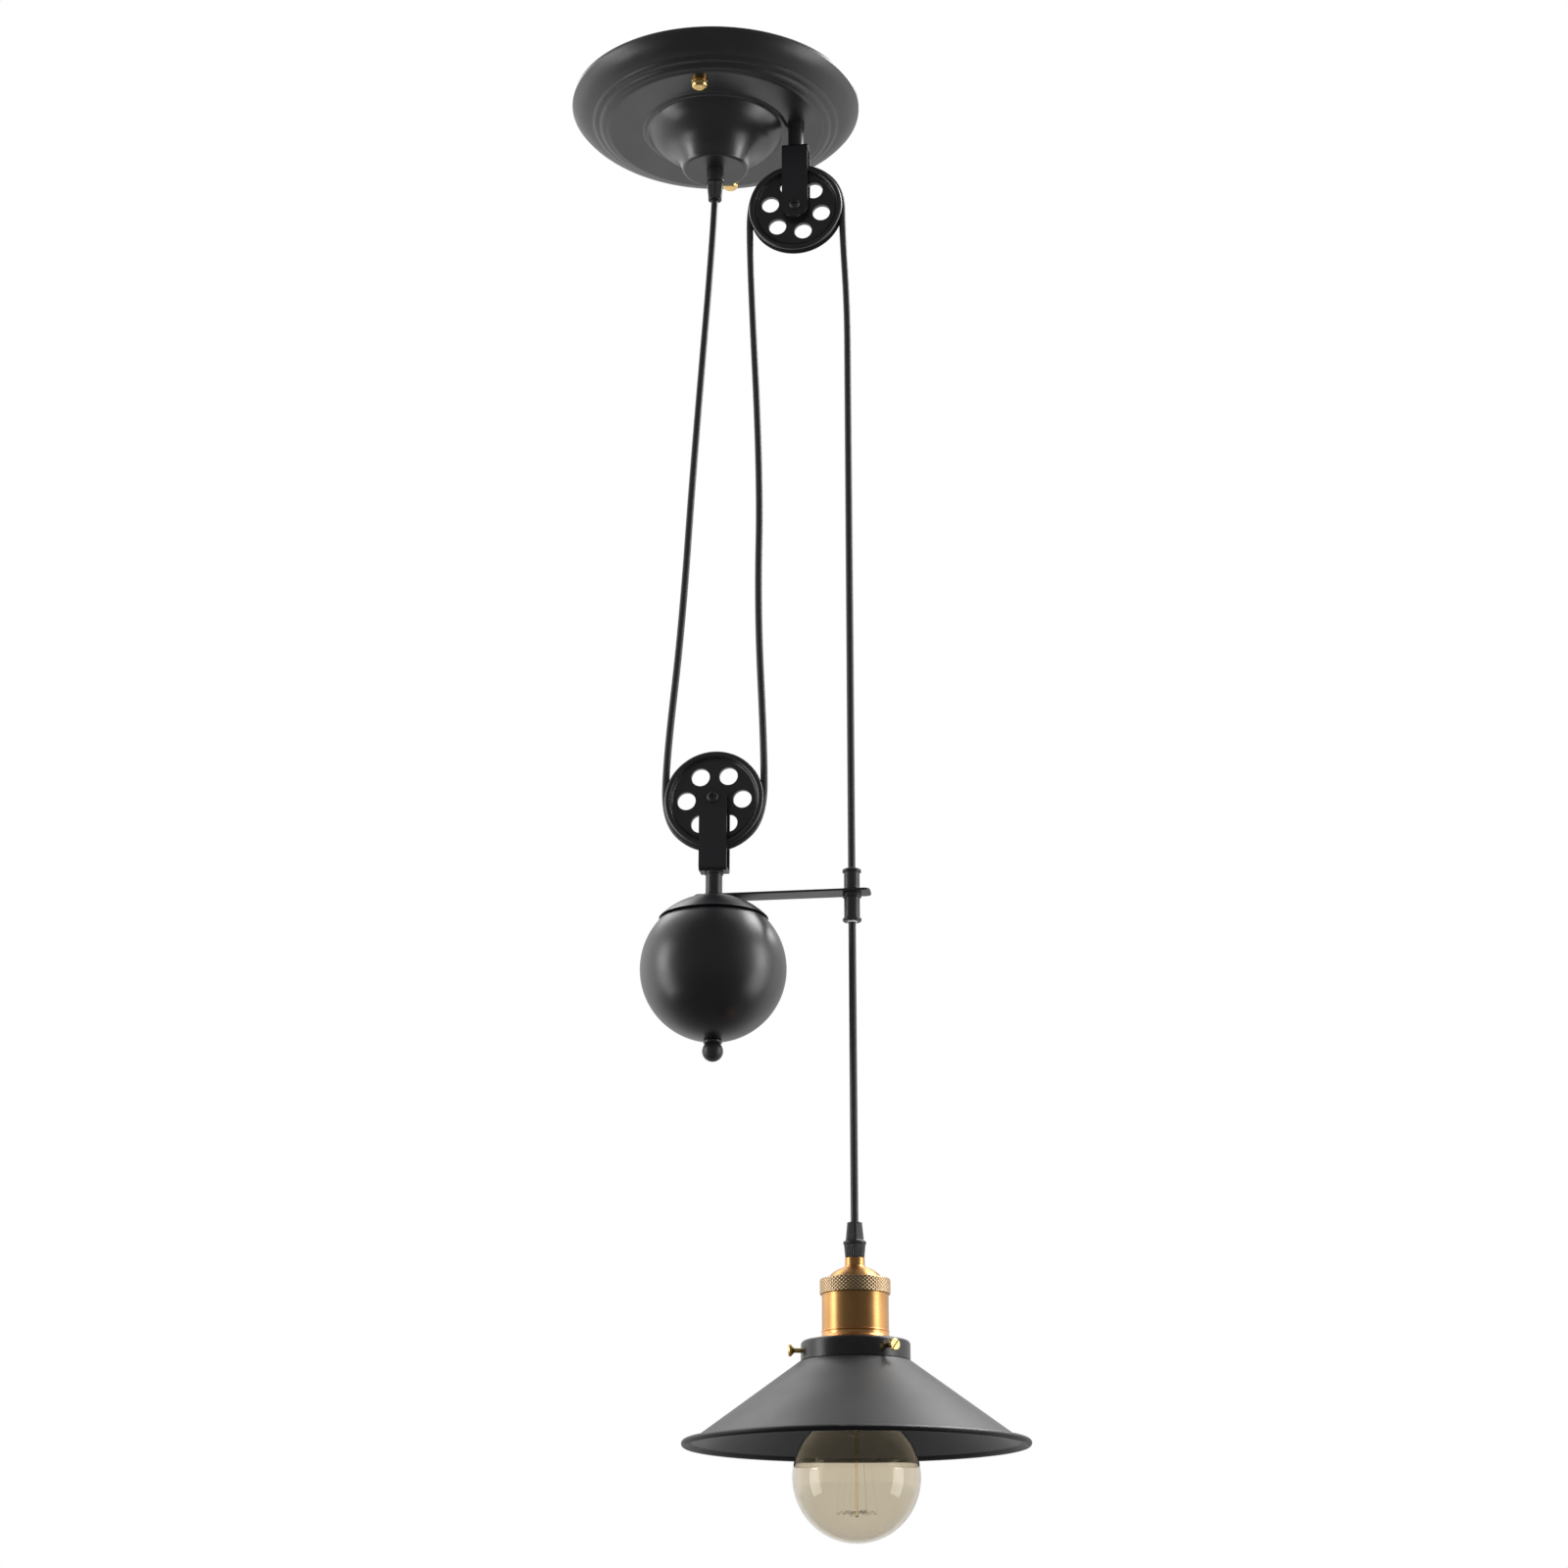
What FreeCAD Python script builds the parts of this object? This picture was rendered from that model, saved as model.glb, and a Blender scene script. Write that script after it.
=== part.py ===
import FreeCAD, Part
import math
import os
import re

import Sketcher

# Rise and fall pendant: a ceiling cover, a fixed pulley, a ball weight on a moving pulley and a
# shaded lamp, all on one round cord.  Origin: centre of the cover on the ceiling, Z up, so the
# whole lamp hangs below zero.  The pulleys turn about Y and the cord runs in the XZ plane.

doc = FreeCAD.newDocument("rise_and_fall_pendant")

# ---------------------------------------------------------------- driving dimensions, millimetres
SIZES = [
    ("canopy_diameter", 212.0, "rim of the ceiling cover"),
    ("canopy_depth", 53.0, "ceiling to the flat centre disc"),
    ("canopy_wall", 1.0, "sheet of the ceiling cover"),
    ("canopy_lip", 2.5, "upright edge of the rim"),
    ("canopy_shelf_depth", 20.0, "ceiling to the flat ring of the cover"),
    ("canopy_shelf_outer", 155.0, "outer diameter of the flat ring"),
    ("canopy_shelf_inner", 108.8, "inner diameter of the flat ring"),
    ("canopy_disc_diameter", 43.0, "flat centre disc"),
    ("strap_end", 8.0, "fixing strap beyond its studs"),
    ("strap_width", 20.0, "fixing strap"),
    ("strap_thick", 1.5, "fixing strap"),
    ("slot_spacing", 76.0, "middle to middle of the ceiling screw slots"),
    ("slot_length", 20.0, "ceiling screw slot, end to end"),
    ("slot_width", 5.0, "ceiling screw slot"),
    ("stud_spacing", 140.0, "between the two cover studs"),
    ("stud_diameter", 4.0, "cover studs"),
    ("cap_nut_diameter", 11.5, "brass cap nuts"),
    ("cap_nut_length", 6.8, "brass cap nuts"),
    ("small_nut_flats", 7.0, "nuts of the studs and the axles"),
    ("small_nut_thick", 3.2, "nuts of the studs and the axles"),
    ("nut_flats", 10.0, "nuts of the hanger bolt and the long rod"),
    ("nut_thick", 5.0, "nuts of the hanger bolt and the long rod"),
    ("lock_nut_flats", 14.0, "lock nut of the cover's cord grip"),
    ("lock_nut_thick", 3.0, "lock nut of the cover's cord grip"),
    ("earth_head_diameter", 8.0, "earth screw"),
    ("earth_head_height", 2.4, "earth screw"),
    ("block_length", 30.0, "terminal block"),
    ("block_width", 18.0, "terminal block"),
    ("block_height", 14.0, "terminal block"),
    ("block_pit_diameter", 4.2, "screw pits of the terminal block"),
    ("block_pit_depth", 7.0, "screw pits of the terminal block"),
    ("block_entry_diameter", 3.2, "wire entries of the terminal block"),
    ("block_entry_height", 9.5, "wire entries above the block's underside"),
    ("block_screw_diameter", 3.6, "terminal screws"),
    ("block_screw_length", 5.0, "terminal screws"),
    ("block_screw_depth", 1.5, "terminal screws below the mouth of their pits"),
    ("cord_diameter", 5.0, "round cord"),
    ("cord_slack", 0.3, "air round the cord in a groove or bore"),
    ("grip_thread", 10.0, "threaded tube of the cord grips"),
    ("grip_thread_length", 9.0, "threaded tube beyond the grip's seat"),
    ("grip_collar_diameter", 12.4, "upper cord grip, smooth collar"),
    ("grip_collar_height", 8.5, "upper cord grip, smooth collar"),
    ("grip_lip_diameter", 13.8, "upper cord grip, lip that meets the nut"),
    ("grip_lip_height", 2.0, "upper cord grip, lip that meets the nut"),
    ("grip_nut_height", 14.0, "tapered clamping nuts"),
    ("grip_nut_small", 10.3, "tapered clamping nuts, cord end"),
    ("grip_nut_large", 12.6, "tapered clamping nuts, flange end"),
    ("grip_nut_edge", 0.8, "rounding at the cord end of the clamping nuts"),
    ("grip_flange", 14.8, "flange of the lamp's cord grip"),
    ("grip_flange_height", 1.8, "flange of the lamp's cord grip"),
    ("grip_body_large", 13.9, "ribbed collar of the lamp's cord grip, top"),
    ("grip_body_small", 12.2, "ribbed collar of the lamp's cord grip, foot"),
    ("pulley_diameter", 68.4, "over the flanges"),
    ("pulley_width", 10.0, "rim"),
    ("cord_circle", 68.0, "diameter of the cord's centre line on a pulley"),
    ("pulley_rim_inner", 59.4, "inside of the rim"),
    ("pulley_web", 3.0, "web between rim and boss"),
    ("pulley_boss", 17.0, "boss diameter"),
    ("pulley_hole", 12.7, "six round holes in the web"),
    ("pulley_hole_circle", 38.5, "their pitch circle"),
    ("pulley_bead", 2.2, "rounding of the rim towards the web"),
    ("pulley_edge", 1.9, "rounding of the rim's outer edges"),
    ("pulley_cove", 1.2, "slope between web and rim"),
    ("boss_edge", 0.7, "bevel of the boss"),
    ("running_gap", 0.05, "radial air of a wheel on its sleeve"),
    ("side_gap", 0.25, "air between a boss and a bracket leg"),
    ("sleeve_diameter", 8.0, "wheel sleeve"),
    ("axle_diameter", 4.0, "axle screw"),
    ("axle_head_diameter", 8.4, "axle screw"),
    ("axle_head_height", 2.8, "axle screw"),
    ("axle_tail", 1.4, "axle screw beyond its nut"),
    ("recess_span", 4.2, "cross recess of the axle screw"),
    ("recess_width", 0.9, "cross recess of the axle screw"),
    ("recess_depth", 1.4, "cross recess of the axle screw"),
    ("bracket_width", 19.0, "strap of the pulley brackets"),
    ("bracket_thick", 2.0, "strap of the pulley brackets"),
    ("bracket_bend", 3.0, "outer bend of the pulley brackets"),
    ("bracket_reach", 51.0, "axle to the outside of the bracket's base"),
    ("bracket_gap", 11.0, "between the bracket legs"),
    ("upper_pulley_x", 60.0, "fixed pulley from the cover's centre line"),
    ("upper_pulley_drop", 90.0, "ceiling to the fixed pulley's axle"),
    ("cord_stand_off", 3.0, "lamp's cord beyond the side of the fixed pulley's groove"),
    ("weight_x", 3.5, "ball weight from the cover's centre line"),
    ("lower_pulley_drop", 541.0, "ceiling to the moving pulley's axle"),
    ("stem_diameter", 11.3, "spacer tubes above and below"),
    ("stem_collar", 12.6, "collars of the spacer tubes"),
    ("stem_collar_height", 4.0, "collar under the cover"),
    ("stem_end_height", 1.8, "collars of the ball's spacer tube"),
    ("rod_diameter", 6.0, "long rod and hanger bolt"),
    ("rod_air", 0.2, "radial air round the long rod and the hanger bolt"),
    ("rod_tail", 1.5, "long rod and hanger bolt beyond their nuts"),
    ("bolt_head_diameter", 10.4, "hanger bolt"),
    ("bolt_head_height", 4.0, "hanger bolt"),
    ("arm_drop", 609.1, "ceiling to the top of the guide arm"),
    ("arm_thick", 1.5, "guide arm"),
    ("arm_width", 16.0, "guide arm"),
    ("arm_end", 12.5, "guide arm beyond its holes"),
    ("arm_corner", 4.0, "rounded corners of the guide arm"),
    ("ferrule_diameter", 10.6, "guide ferrules"),
    ("ferrule_flange", 12.6, "flanges of the guide ferrules"),
    ("ferrule_flange_height", 1.8, "flanges of the guide ferrules"),
    ("ferrule_edge", 0.5, "bevel of the flanges"),
    ("ferrule_seat_height", 2.8, "flange of the lower ferrule under the arm"),
    ("ferrule_upper_length", 15.0, "guide ferrule above the arm"),
    ("ferrule_lower_length", 19.5, "guide ferrule below the arm"),
    ("liner_wall", 0.6, "white liner of the ferrules"),
    ("liner_lip", 0.8, "white liner beyond the ferrules"),
    ("ball_diameter", 98.0, "ball weight"),
    ("ball_wall", 1.2, "shell of the ball weight"),
    ("ball_flat_height", 47.2, "ball centre to its flattened top"),
    ("cap_wall", 1.3, "cap over the ball"),
    ("cap_edge_height", 34.8, "ball centre to the cap's edge"),
    ("seat_gap", 0.3, "air between pieces that rest on each other"),
    ("slip_gap", 0.1, "radial air of pieces pushed over each other"),
    ("ballast_diameter", 56.0, "cast slug in the ball"),
    ("ballast_height", 42.0, "cast slug in the ball"),
    ("ballast_bevel", 3.0, "cast slug in the ball"),
    ("finial_diameter", 14.0, "small ball below"),
    ("finial_collar", 12.4, "collar of the small ball"),
    ("finial_collar_height", 1.6, "collar of the small ball"),
    ("lamp_grip_top", 831.0, "ceiling to the top of the lamp's cord grip"),
    ("grip_body_height", 9.0, "ribbed collar of the lamp's cord grip"),
    ("holder_neck_diameter", 12.8, "neck of the lampholder cap"),
    ("holder_neck_height", 4.8, "neck of the lampholder cap"),
    ("dome_height", 8.6, "dome of the lampholder cap"),
    ("dome_diameter", 36.1, "dome of the lampholder cap at the knurled ring"),
    ("dome_shoulder", 1.2, "step between neck and dome"),
    ("dome_bend", 19.0, "dome of the lampholder cap"),
    ("ring_diameter", 45.3, "knurled ring"),
    ("ring_height", 9.8, "knurled ring"),
    ("ring_wall", 1.4, "knurled ring"),
    ("ring_edge", 0.5, "bevel of the knurled ring"),
    ("holder_diameter", 42.6, "brushed body of the lampholder"),
    ("holder_wall", 0.9, "sheet of the lampholder"),
    ("holder_height", 22.8, "brushed body below the ring"),
    ("tube_step", 2.0, "brushed body to the narrower tube below it"),
    ("skirt_height", 6.5, "flared ring below the brushed body"),
    ("skirt_diameter", 45.2, "flared ring at its foot"),
    ("skirt_flare_height", 4.6, "flared part of that ring"),
    ("skirt_band_height", 1.4, "upright edge of that ring"),
    ("gallery_diameter", 69.6, "black shade carrier"),
    ("gallery_height", 12.2, "black shade carrier"),
    ("gallery_wall", 1.2, "black shade carrier"),
    ("gallery_edge", 2.4, "rounded shoulder of the carrier"),
    ("gallery_nut_width", 4.0, "ring nut under the carrier's top"),
    ("tube_below_gallery", 18.0, "lampholder tube below the carrier's top"),
    ("screw_diameter", 3.0, "thumb screws"),
    ("screw_head_diameter", 7.5, "thumb screws"),
    ("screw_head_thick", 2.2, "thumb screws"),
    ("screw_slot_width", 1.0, "slot of the thumb screws"),
    ("screw_slot_depth", 0.9, "slot of the thumb screws"),
    ("screw_air", 0.02, "radial air of the thumb screws in the carrier"),
    ("screw_tip_bevel", 0.5, "thumb screws"),
    ("screw_neck", 1.6, "flared neck under the thumb screws' heads"),
    ("screw_head_bevel", 0.4, "thumb screws"),
    ("screw_standout", 8.0, "carrier wall to the end of the thumb screw's head"),
    ("shade_diameter", 220.0, "over the rolled rim"),
    ("shade_wall", 0.8, "sheet of the shade"),
    ("shade_height", 53.6, "carrier's lower edge to the bottom of the rim"),
    ("shade_neck_diameter", 65.4, "collar of the shade in the carrier"),
    ("shade_neck_height", 7.6, "collar of the shade in the carrier"),
    ("shade_shoulder", 0.8, "shade's cone beyond the carrier's wall"),
    ("shade_step", 0.7, "carrier's lower edge to the top of the cone"),
    ("rim_bead", 4.2, "rolled rim"),
    ("rim_return", 0.8, "edge of the rolled rim inside the cone"),
    ("socket_thread_inner", 27.0, "threaded shell of the lampholder"),
    ("socket_thread_wall", 0.5, "threaded shell of the lampholder"),
    ("insert_height", 12.0, "ceramic insert above the contact"),
    ("insert_floor", 5.0, "ceramic between contact and cord space"),
    ("insert_slack", 0.4, "cord space of the ceramic insert beyond a guide's bore"),
    ("insert_inset", 0.5, "ceramic insert above the end of the holder's tube"),
    ("contact_height", 1.4, "centre contact"),
    ("contact_diameter", 7.0, "centre contact"),
    ("bulb_diameter", 80.5, "globe"),
    ("bulb_drop", 71.6, "carrier's lower edge to the middle of the globe"),
    ("bulb_wall", 0.7, "glass"),
    ("bulb_cap_diameter", 26.0, "screw cap of the bulb"),
    ("bulb_cap_wall", 0.5, "screw cap of the bulb"),
    ("bulb_cap_height", 26.5, "screw cap of the bulb, contact to foot"),
    ("bulb_cap_cone", 5.0, "tapered end of the screw cap"),
    ("bulb_tip_diameter", 9.0, "solder contact of the bulb"),
    ("bulb_neck_depth", 7.0, "glass inside the screw cap"),
    ("bulb_throat", 2.0, "glass beyond the cap's radius where it meets the globe"),
    ("bulb_rod_diameter", 2.4, "glass rod of the filament"),
    ("bulb_stem_width", 10.0, "glass stem at its middle"),
    ("filament_drop", 22.0, "middle of the globe to the lower star"),
    ("filament_rise", 26.0, "middle of the globe to the upper star"),
    ("filament_lower_reach", 13.0, "lower star, centre to tip"),
    ("filament_upper_reach", 8.0, "upper star, centre to tip"),
    ("wire_radius", 0.15, "filament wire"),
    ("bulb_length", 129.0, "bulb from contact to globe end"),
]

# places and sizes worked out from the driving dimensions
PLACES = {
    "strap_length": "stud_spacing + strap_end * 2",
    "cord_radius": "cord_diameter / 2",
    "bore_radius": "cord_radius + cord_slack",
    "cord_turn": "cord_circle / 2",
    "lamp_x": "upper_pulley_x + cord_turn + cord_stand_off",
    "shelf_z": "-canopy_shelf_depth",
    "upper_z": "-upper_pulley_drop",
    "lower_z": "-lower_pulley_drop",
    "leg_half": "bracket_gap / 2 + bracket_thick",
    "upper_base_z": "upper_z + bracket_reach",
    "lower_base_z": "lower_z - bracket_reach",
    "arm_top_z": "-arm_drop",
    "arm_bottom_z": "arm_top_z - arm_thick",
    "cap_outer": "ball_diameter / 2 + seat_gap + cap_wall",
    "cap_inner": "ball_diameter / 2 + seat_gap",
    "ball_z": "arm_bottom_z - ball_flat_height - seat_gap - cap_wall",
    "ball_radius": "ball_diameter / 2",
    "ferrule_spigot": "ferrule_diameter / 2 - 1",
    "rod_hole": "rod_diameter / 2 + rod_air",
    "grip_mouth_z": "-canopy_depth - grip_collar_height - grip_lip_height - grip_nut_height",
    "lamp_grip_z": "-lamp_grip_top",
    "lamp_collar_z": "lamp_grip_z - grip_nut_height",
    "neck_top_z": "lamp_collar_z - grip_body_height",
    "dome_top_z": "neck_top_z - holder_neck_height",
    "ring_top_z": "dome_top_z - dome_height",
    "ring_bottom_z": "ring_top_z - ring_height",
    "holder_bottom_z": "ring_bottom_z - holder_height",
    "gallery_top_z": "holder_bottom_z - skirt_height",
    "gallery_bottom_z": "gallery_top_z - gallery_height",
    "tube_bottom_z": "gallery_top_z - tube_below_gallery",
    "screw_z": "gallery_top_z - gallery_height / 2",
    "rim_z": "gallery_bottom_z - shade_height",
    "globe_radius": "bulb_diameter / 2",
    "globe_z": "gallery_bottom_z - bulb_drop",
    "contact_z": "globe_z - globe_radius + bulb_length",
    "cap_foot_z": "contact_z - bulb_cap_height",
    "tube_radius": "holder_diameter / 2 - tube_step",
    "tube_hole": "tube_radius + slip_gap",
    "seam_z": "ring_top_z - ring_wall",
}

sheet = doc.addObject("Spreadsheet::Sheet", "Sizes")
for row, (size_name, size_value, size_note) in enumerate(SIZES, start=1):
    sheet.set(f"A{row}", size_note)
    sheet.set(f"B{row}", str(size_value))
    sheet.setAlias(f"B{row}", size_name)
doc.recompute()
SIZE_NAMES = {size[0] for size in SIZES}


# ---------------------------------------------------------------- helpers
def spelled(expression):
    """The expression with every place written out in cells of the sheet."""

    def swap(match):
        word = match.group(0)
        if word in PLACES:
            return "(" + spelled(PLACES[word]) + ")"
        return "Sizes." + word if word in SIZE_NAMES else word

    return re.sub(r"[A-Za-z_][A-Za-z_0-9]*", swap, str(expression))


def value(expression):
    """What the expression comes to now, in millimetres."""
    return float(sheet.evalExpression(spelled(expression)))


def bind(thing, **fields):
    """Ties the fields of a feature to the sheet."""
    for field, expression in fields.items():
        thing.setExpression(field, spelled(expression))


def place(thing, x="0", y="0", z="0"):
    """Ties the place of a feature to the sheet."""
    for letter, expression in zip("xyz", (x, y, z)):
        thing.setExpression(f"Placement.Base.{letter}", spelled(expression))
    return thing


def new_body(label):
    body = doc.addObject("PartDesign::Body", label)
    body.Label = label
    return body


def new_sketch(body, name, plane):
    sketch = body.newObject("Sketcher::SketchObject", name)
    origin = [part for part in body.Origin.OriginFeatures if part.Role == plane]
    sketch.AttachmentSupport = [(origin[0], "")]
    sketch.MapMode = "FlatFace"
    return sketch


def arc_between(start, end, radius, turn):
    """The shorter arc from start to end; turn is 1 anticlockwise and -1 clockwise."""
    middle = (start + end) / 2
    chord = end - start
    rise = math.sqrt(max(radius**2 - (chord.Length / 2) ** 2, 0))
    across = FreeCAD.Vector(-chord.y, chord.x, 0).normalize() * (rise * turn)
    centre = middle + across
    first, last = (start, end) if turn > 0 else (end, start)
    angles = [math.atan2(point.y - centre.y, point.x - centre.x) for point in (first, last)]
    if angles[1] < angles[0]:
        angles[1] += 2 * math.pi
    circle = Part.Circle(centre, FreeCAD.Vector(0, 0, 1), radius)
    return Part.ArcOfCircle(circle, angles[0], angles[1])


def add_loop(sketch, corners):
    """Draws a closed loop.  A corner is (x, y), or (x, y, radius, turn) where an arc leads on."""
    spots = [FreeCAD.Vector(value(corner[0]), value(corner[1]), 0) for corner in corners]
    ends = []
    for index, corner in enumerate(corners):
        start, end = spots[index], spots[(index + 1) % len(spots)]
        if len(corner) == 2:
            edge = sketch.addGeometry(Part.LineSegment(start, end), False)
            ends.append((edge, 1, 2))
        else:
            edge = sketch.addGeometry(arc_between(start, end, value(corner[2]), corner[3]), False)
            ends.append((edge, 1, 2) if corner[3] > 0 else (edge, 2, 1))
    for index, corner in enumerate(corners):
        edge, begin, _ = ends[index]
        before, _, finish = ends[index - 1]
        sketch.addConstraint(Sketcher.Constraint("Coincident", before, finish, edge, begin))
        for kind, axis, place_of in (("DistanceX", -2, corner[0]), ("DistanceY", -1, corner[1])):
            if place_of == "0":
                rule = Sketcher.Constraint("PointOnObject", edge, begin, axis)
                sketch.addConstraint(rule)
                continue
            rule = Sketcher.Constraint(kind, -1, 1, edge, begin, value(place_of))
            number = sketch.addConstraint(rule)
            sketch.setExpression(f"Constraints[{number}]", spelled(place_of))
        if len(corner) == 4:
            number = sketch.addConstraint(Sketcher.Constraint("Radius", edge, value(corner[2])))
            sketch.setExpression(f"Constraints[{number}]", spelled(corner[2]))


def add_circle(sketch, x, y, radius):
    """Draws a circle whose centre and radius are tied to the sheet."""
    centre = FreeCAD.Vector(value(x), value(y), 0)
    circle = Part.Circle(centre, FreeCAD.Vector(0, 0, 1), value(radius))
    edge = sketch.addGeometry(circle, False)
    for kind, axis, place_of in (("DistanceX", -2, x), ("DistanceY", -1, y)):
        if place_of == "0":
            sketch.addConstraint(Sketcher.Constraint("PointOnObject", edge, 3, axis))
            continue
        rule = Sketcher.Constraint(kind, -1, 1, edge, 3, value(place_of))
        number = sketch.addConstraint(rule)
        sketch.setExpression(f"Constraints[{number}]", spelled(place_of))
    number = sketch.addConstraint(Sketcher.Constraint("Radius", edge, value(radius)))
    sketch.setExpression(f"Constraints[{number}]", spelled(radius))


CUT_OVER = 1  # how far a cutting body runs past the surface it cuts, millimetres
TURNING = {"Z": ("XZ_Plane", "V_Axis"), "Y": ("YZ_Plane", "H_Axis"), "X": ("XZ_Plane", "H_Axis")}


def turned(label, corners, axis="Z"):
    """A body turned about Z from (radius, z) corners, or about X or Y from (along, radius)."""
    plane, line = TURNING[axis]
    body = new_body(label)
    sketch = new_sketch(body, label + "_outline", plane)
    add_loop(sketch, corners)
    turn = body.newObject("PartDesign::Revolution", label + "_turn")
    turn.Profile = sketch
    turn.ReferenceAxis = (sketch, [line])
    turn.Angle = 360
    sketch.Visibility = False
    return body


def tube(label, inner, outer, low, high):
    """A plain turned tube about Z."""
    return turned(label, [(inner, low), (outer, low), (outer, high), (inner, high)])


def cut_holes(body, name, circles, plane="XY_Plane"):
    """Cuts round holes right through the body, square to the plane."""
    sketch = new_sketch(body, name + "_outline", plane)
    for x, y, radius in circles:
        add_circle(sketch, x, y, radius)
    pocket = body.newObject("PartDesign::Pocket", name)
    pocket.Profile = sketch
    pocket.Type = "ThroughAll"
    pocket.Midplane = True
    return pocket


def prism_nut(label, flats, thick, bore):
    """A hexagon nut standing on its own origin, bored right through."""
    blank = doc.addObject("Part::Prism", label + "_blank")
    blank.Polygon = 6
    bind(blank, Circumradius=f"({flats}) / sqrt(3)", Height=thick)
    drill = doc.addObject("Part::Cylinder", label + "_drill")
    bind(drill, Radius=bore, Height=f"({thick}) + {2 * CUT_OVER}")
    place(drill, z=f"-{CUT_OVER}")
    nut = doc.addObject("Part::Cut", label)
    nut.Base = blank
    nut.Tool = drill
    nut.Label = label
    return nut


def grouped(label, pieces):
    """Several alike solids as one node."""
    group = doc.addObject("Part::Compound", label)
    group.Links = pieces
    group.Label = label
    return group


def mirrored_pair(label, piece):
    """The piece and its mirror image across the XZ plane as one node."""
    twin = doc.addObject("Part::Mirroring", label + "_twin")
    twin.Source = piece
    twin.Normal = (0, 1, 0)
    twin.Base = (0, 0, 0)
    return grouped(label, [piece, twin])


NODES = []


def keep(*pieces):
    """Marks pieces that are parts of the lamp."""
    NODES.extend(pieces)


# ---------------------------------------------------------------- ceiling cover
# Wavy stretches of the cover, each point a share of the way in and down, then the bend as a share
# of the stretch's width and its turn, -1 for a hump and 1 for a hollow.
RIM_BEADS = [
    (0.498, 0.673, 0.14, 1),
    (0.552, 0.720, 0.21, -1),
    (0.664, 0.804, 0.14, 1),
    (0.739, 0.859, 0.21, -1),
    (0.858, 0.944, 0.175, 1),
    (0.916, 0.971, 0.175, -1),
]
NECK_WAVES = [
    (0.000, 0.000, 0.06, 1),
    (0.033, 0.010, 0.10, -1),
    (0.075, 0.034, 0.09, 1),
    (0.150, 0.073, 1.09, -1),
    (0.501, 0.397, 0.87, 1),
    (0.912, 0.924, 0.096, -1),
]
FIRST_BEAD, SHOULDER, WAIST, FOOT = RIM_BEADS[0], NECK_WAVES[3], NECK_WAVES[4], NECK_WAVES[5]


def build_canopy():
    """Spun cover: rim, two beads, flat ring, curl, shoulder, hollow waist and flat centre disc."""
    wall = "canopy_wall"
    rim, shelf = "(canopy_diameter / 2)", "(canopy_shelf_outer / 2)"
    ring, disc = "(canopy_shelf_inner / 2)", "(canopy_disc_diameter / 2)"
    band, slope = f"({rim} - {shelf})", f"({ring} - {disc})"
    neck = "(canopy_depth - canopy_shelf_depth)"
    hole = "grip_thread / 2 + seat_gap"
    rim_bend = f"{band} * 1.05"

    def on_band(spot):
        return f"({rim} - {band} * {spot[0]})", f"(shelf_z * {spot[1]})"

    def on_neck(spot):
        return f"({ring} - {slope} * {spot[0]})", f"(shelf_z - {neck} * {spot[1]})"

    outside = [(f"{rim} - {wall}", "0"), (rim, "0"), (rim, "-canopy_lip", rim_bend, -1)]
    outside += [(*on_band(spot), f"{band} * {spot[2]}", spot[3]) for spot in RIM_BEADS]
    outside.append((shelf, "shelf_z"))
    outside += [(*on_neck(spot), f"{slope} * {spot[2]}", spot[3]) for spot in NECK_WAVES]
    outside += [(disc, "-canopy_depth"), (hole, "-canopy_depth")]

    bead_r, bead_z = on_band(FIRST_BEAD)
    shoulder_r, shoulder_z = on_neck(SHOULDER)
    waist_r, waist_z = on_neck(WAIST)
    foot_r, foot_z = on_neck(FOOT)
    shoulder_bend, waist_bend = f"{slope} * {SHOULDER[2]}", f"{slope} * {WAIST[2]}"
    inside = [
        (hole, f"-canopy_depth + {wall}"),
        (f"{disc} - {wall} * 0.4", f"-canopy_depth + {wall}"),
        (f"{foot_r} - {wall}", f"{foot_z} + {wall} * 0.3", f"{waist_bend} + {wall}", -1),
        (f"{waist_r} - {wall} / 2", f"{waist_z} + {wall} * 0.87", f"{shoulder_bend} - {wall}", 1),
        (f"{shoulder_r} - {wall} * 0.8", f"{shoulder_z} + {wall} * 0.6"),
        (f"{shoulder_r} + {wall} * 0.5", f"shelf_z + {wall} * 0.1"),
        (ring, f"shelf_z + {wall}"),
        (f"{shelf} - {wall} * 0.3", f"shelf_z + {wall}"),
        (f"{bead_r} - {wall} / 3", f"{bead_z} + {wall}", f"{rim_bend} - {wall}", 1),
        (f"{rim} - {wall}", "-canopy_lip"),
    ]
    body = turned("canopy", outside + inside)
    stud_hole = "stud_diameter / 2 + seat_gap"
    holes = [
        ("0", "stud_spacing / 2", stud_hole),
        ("0", "-stud_spacing / 2", stud_hole),
        ("upper_pulley_x", "0", "rod_hole"),
    ]
    cut_holes(body, "canopy_holes", holes)
    keep(body)


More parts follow.
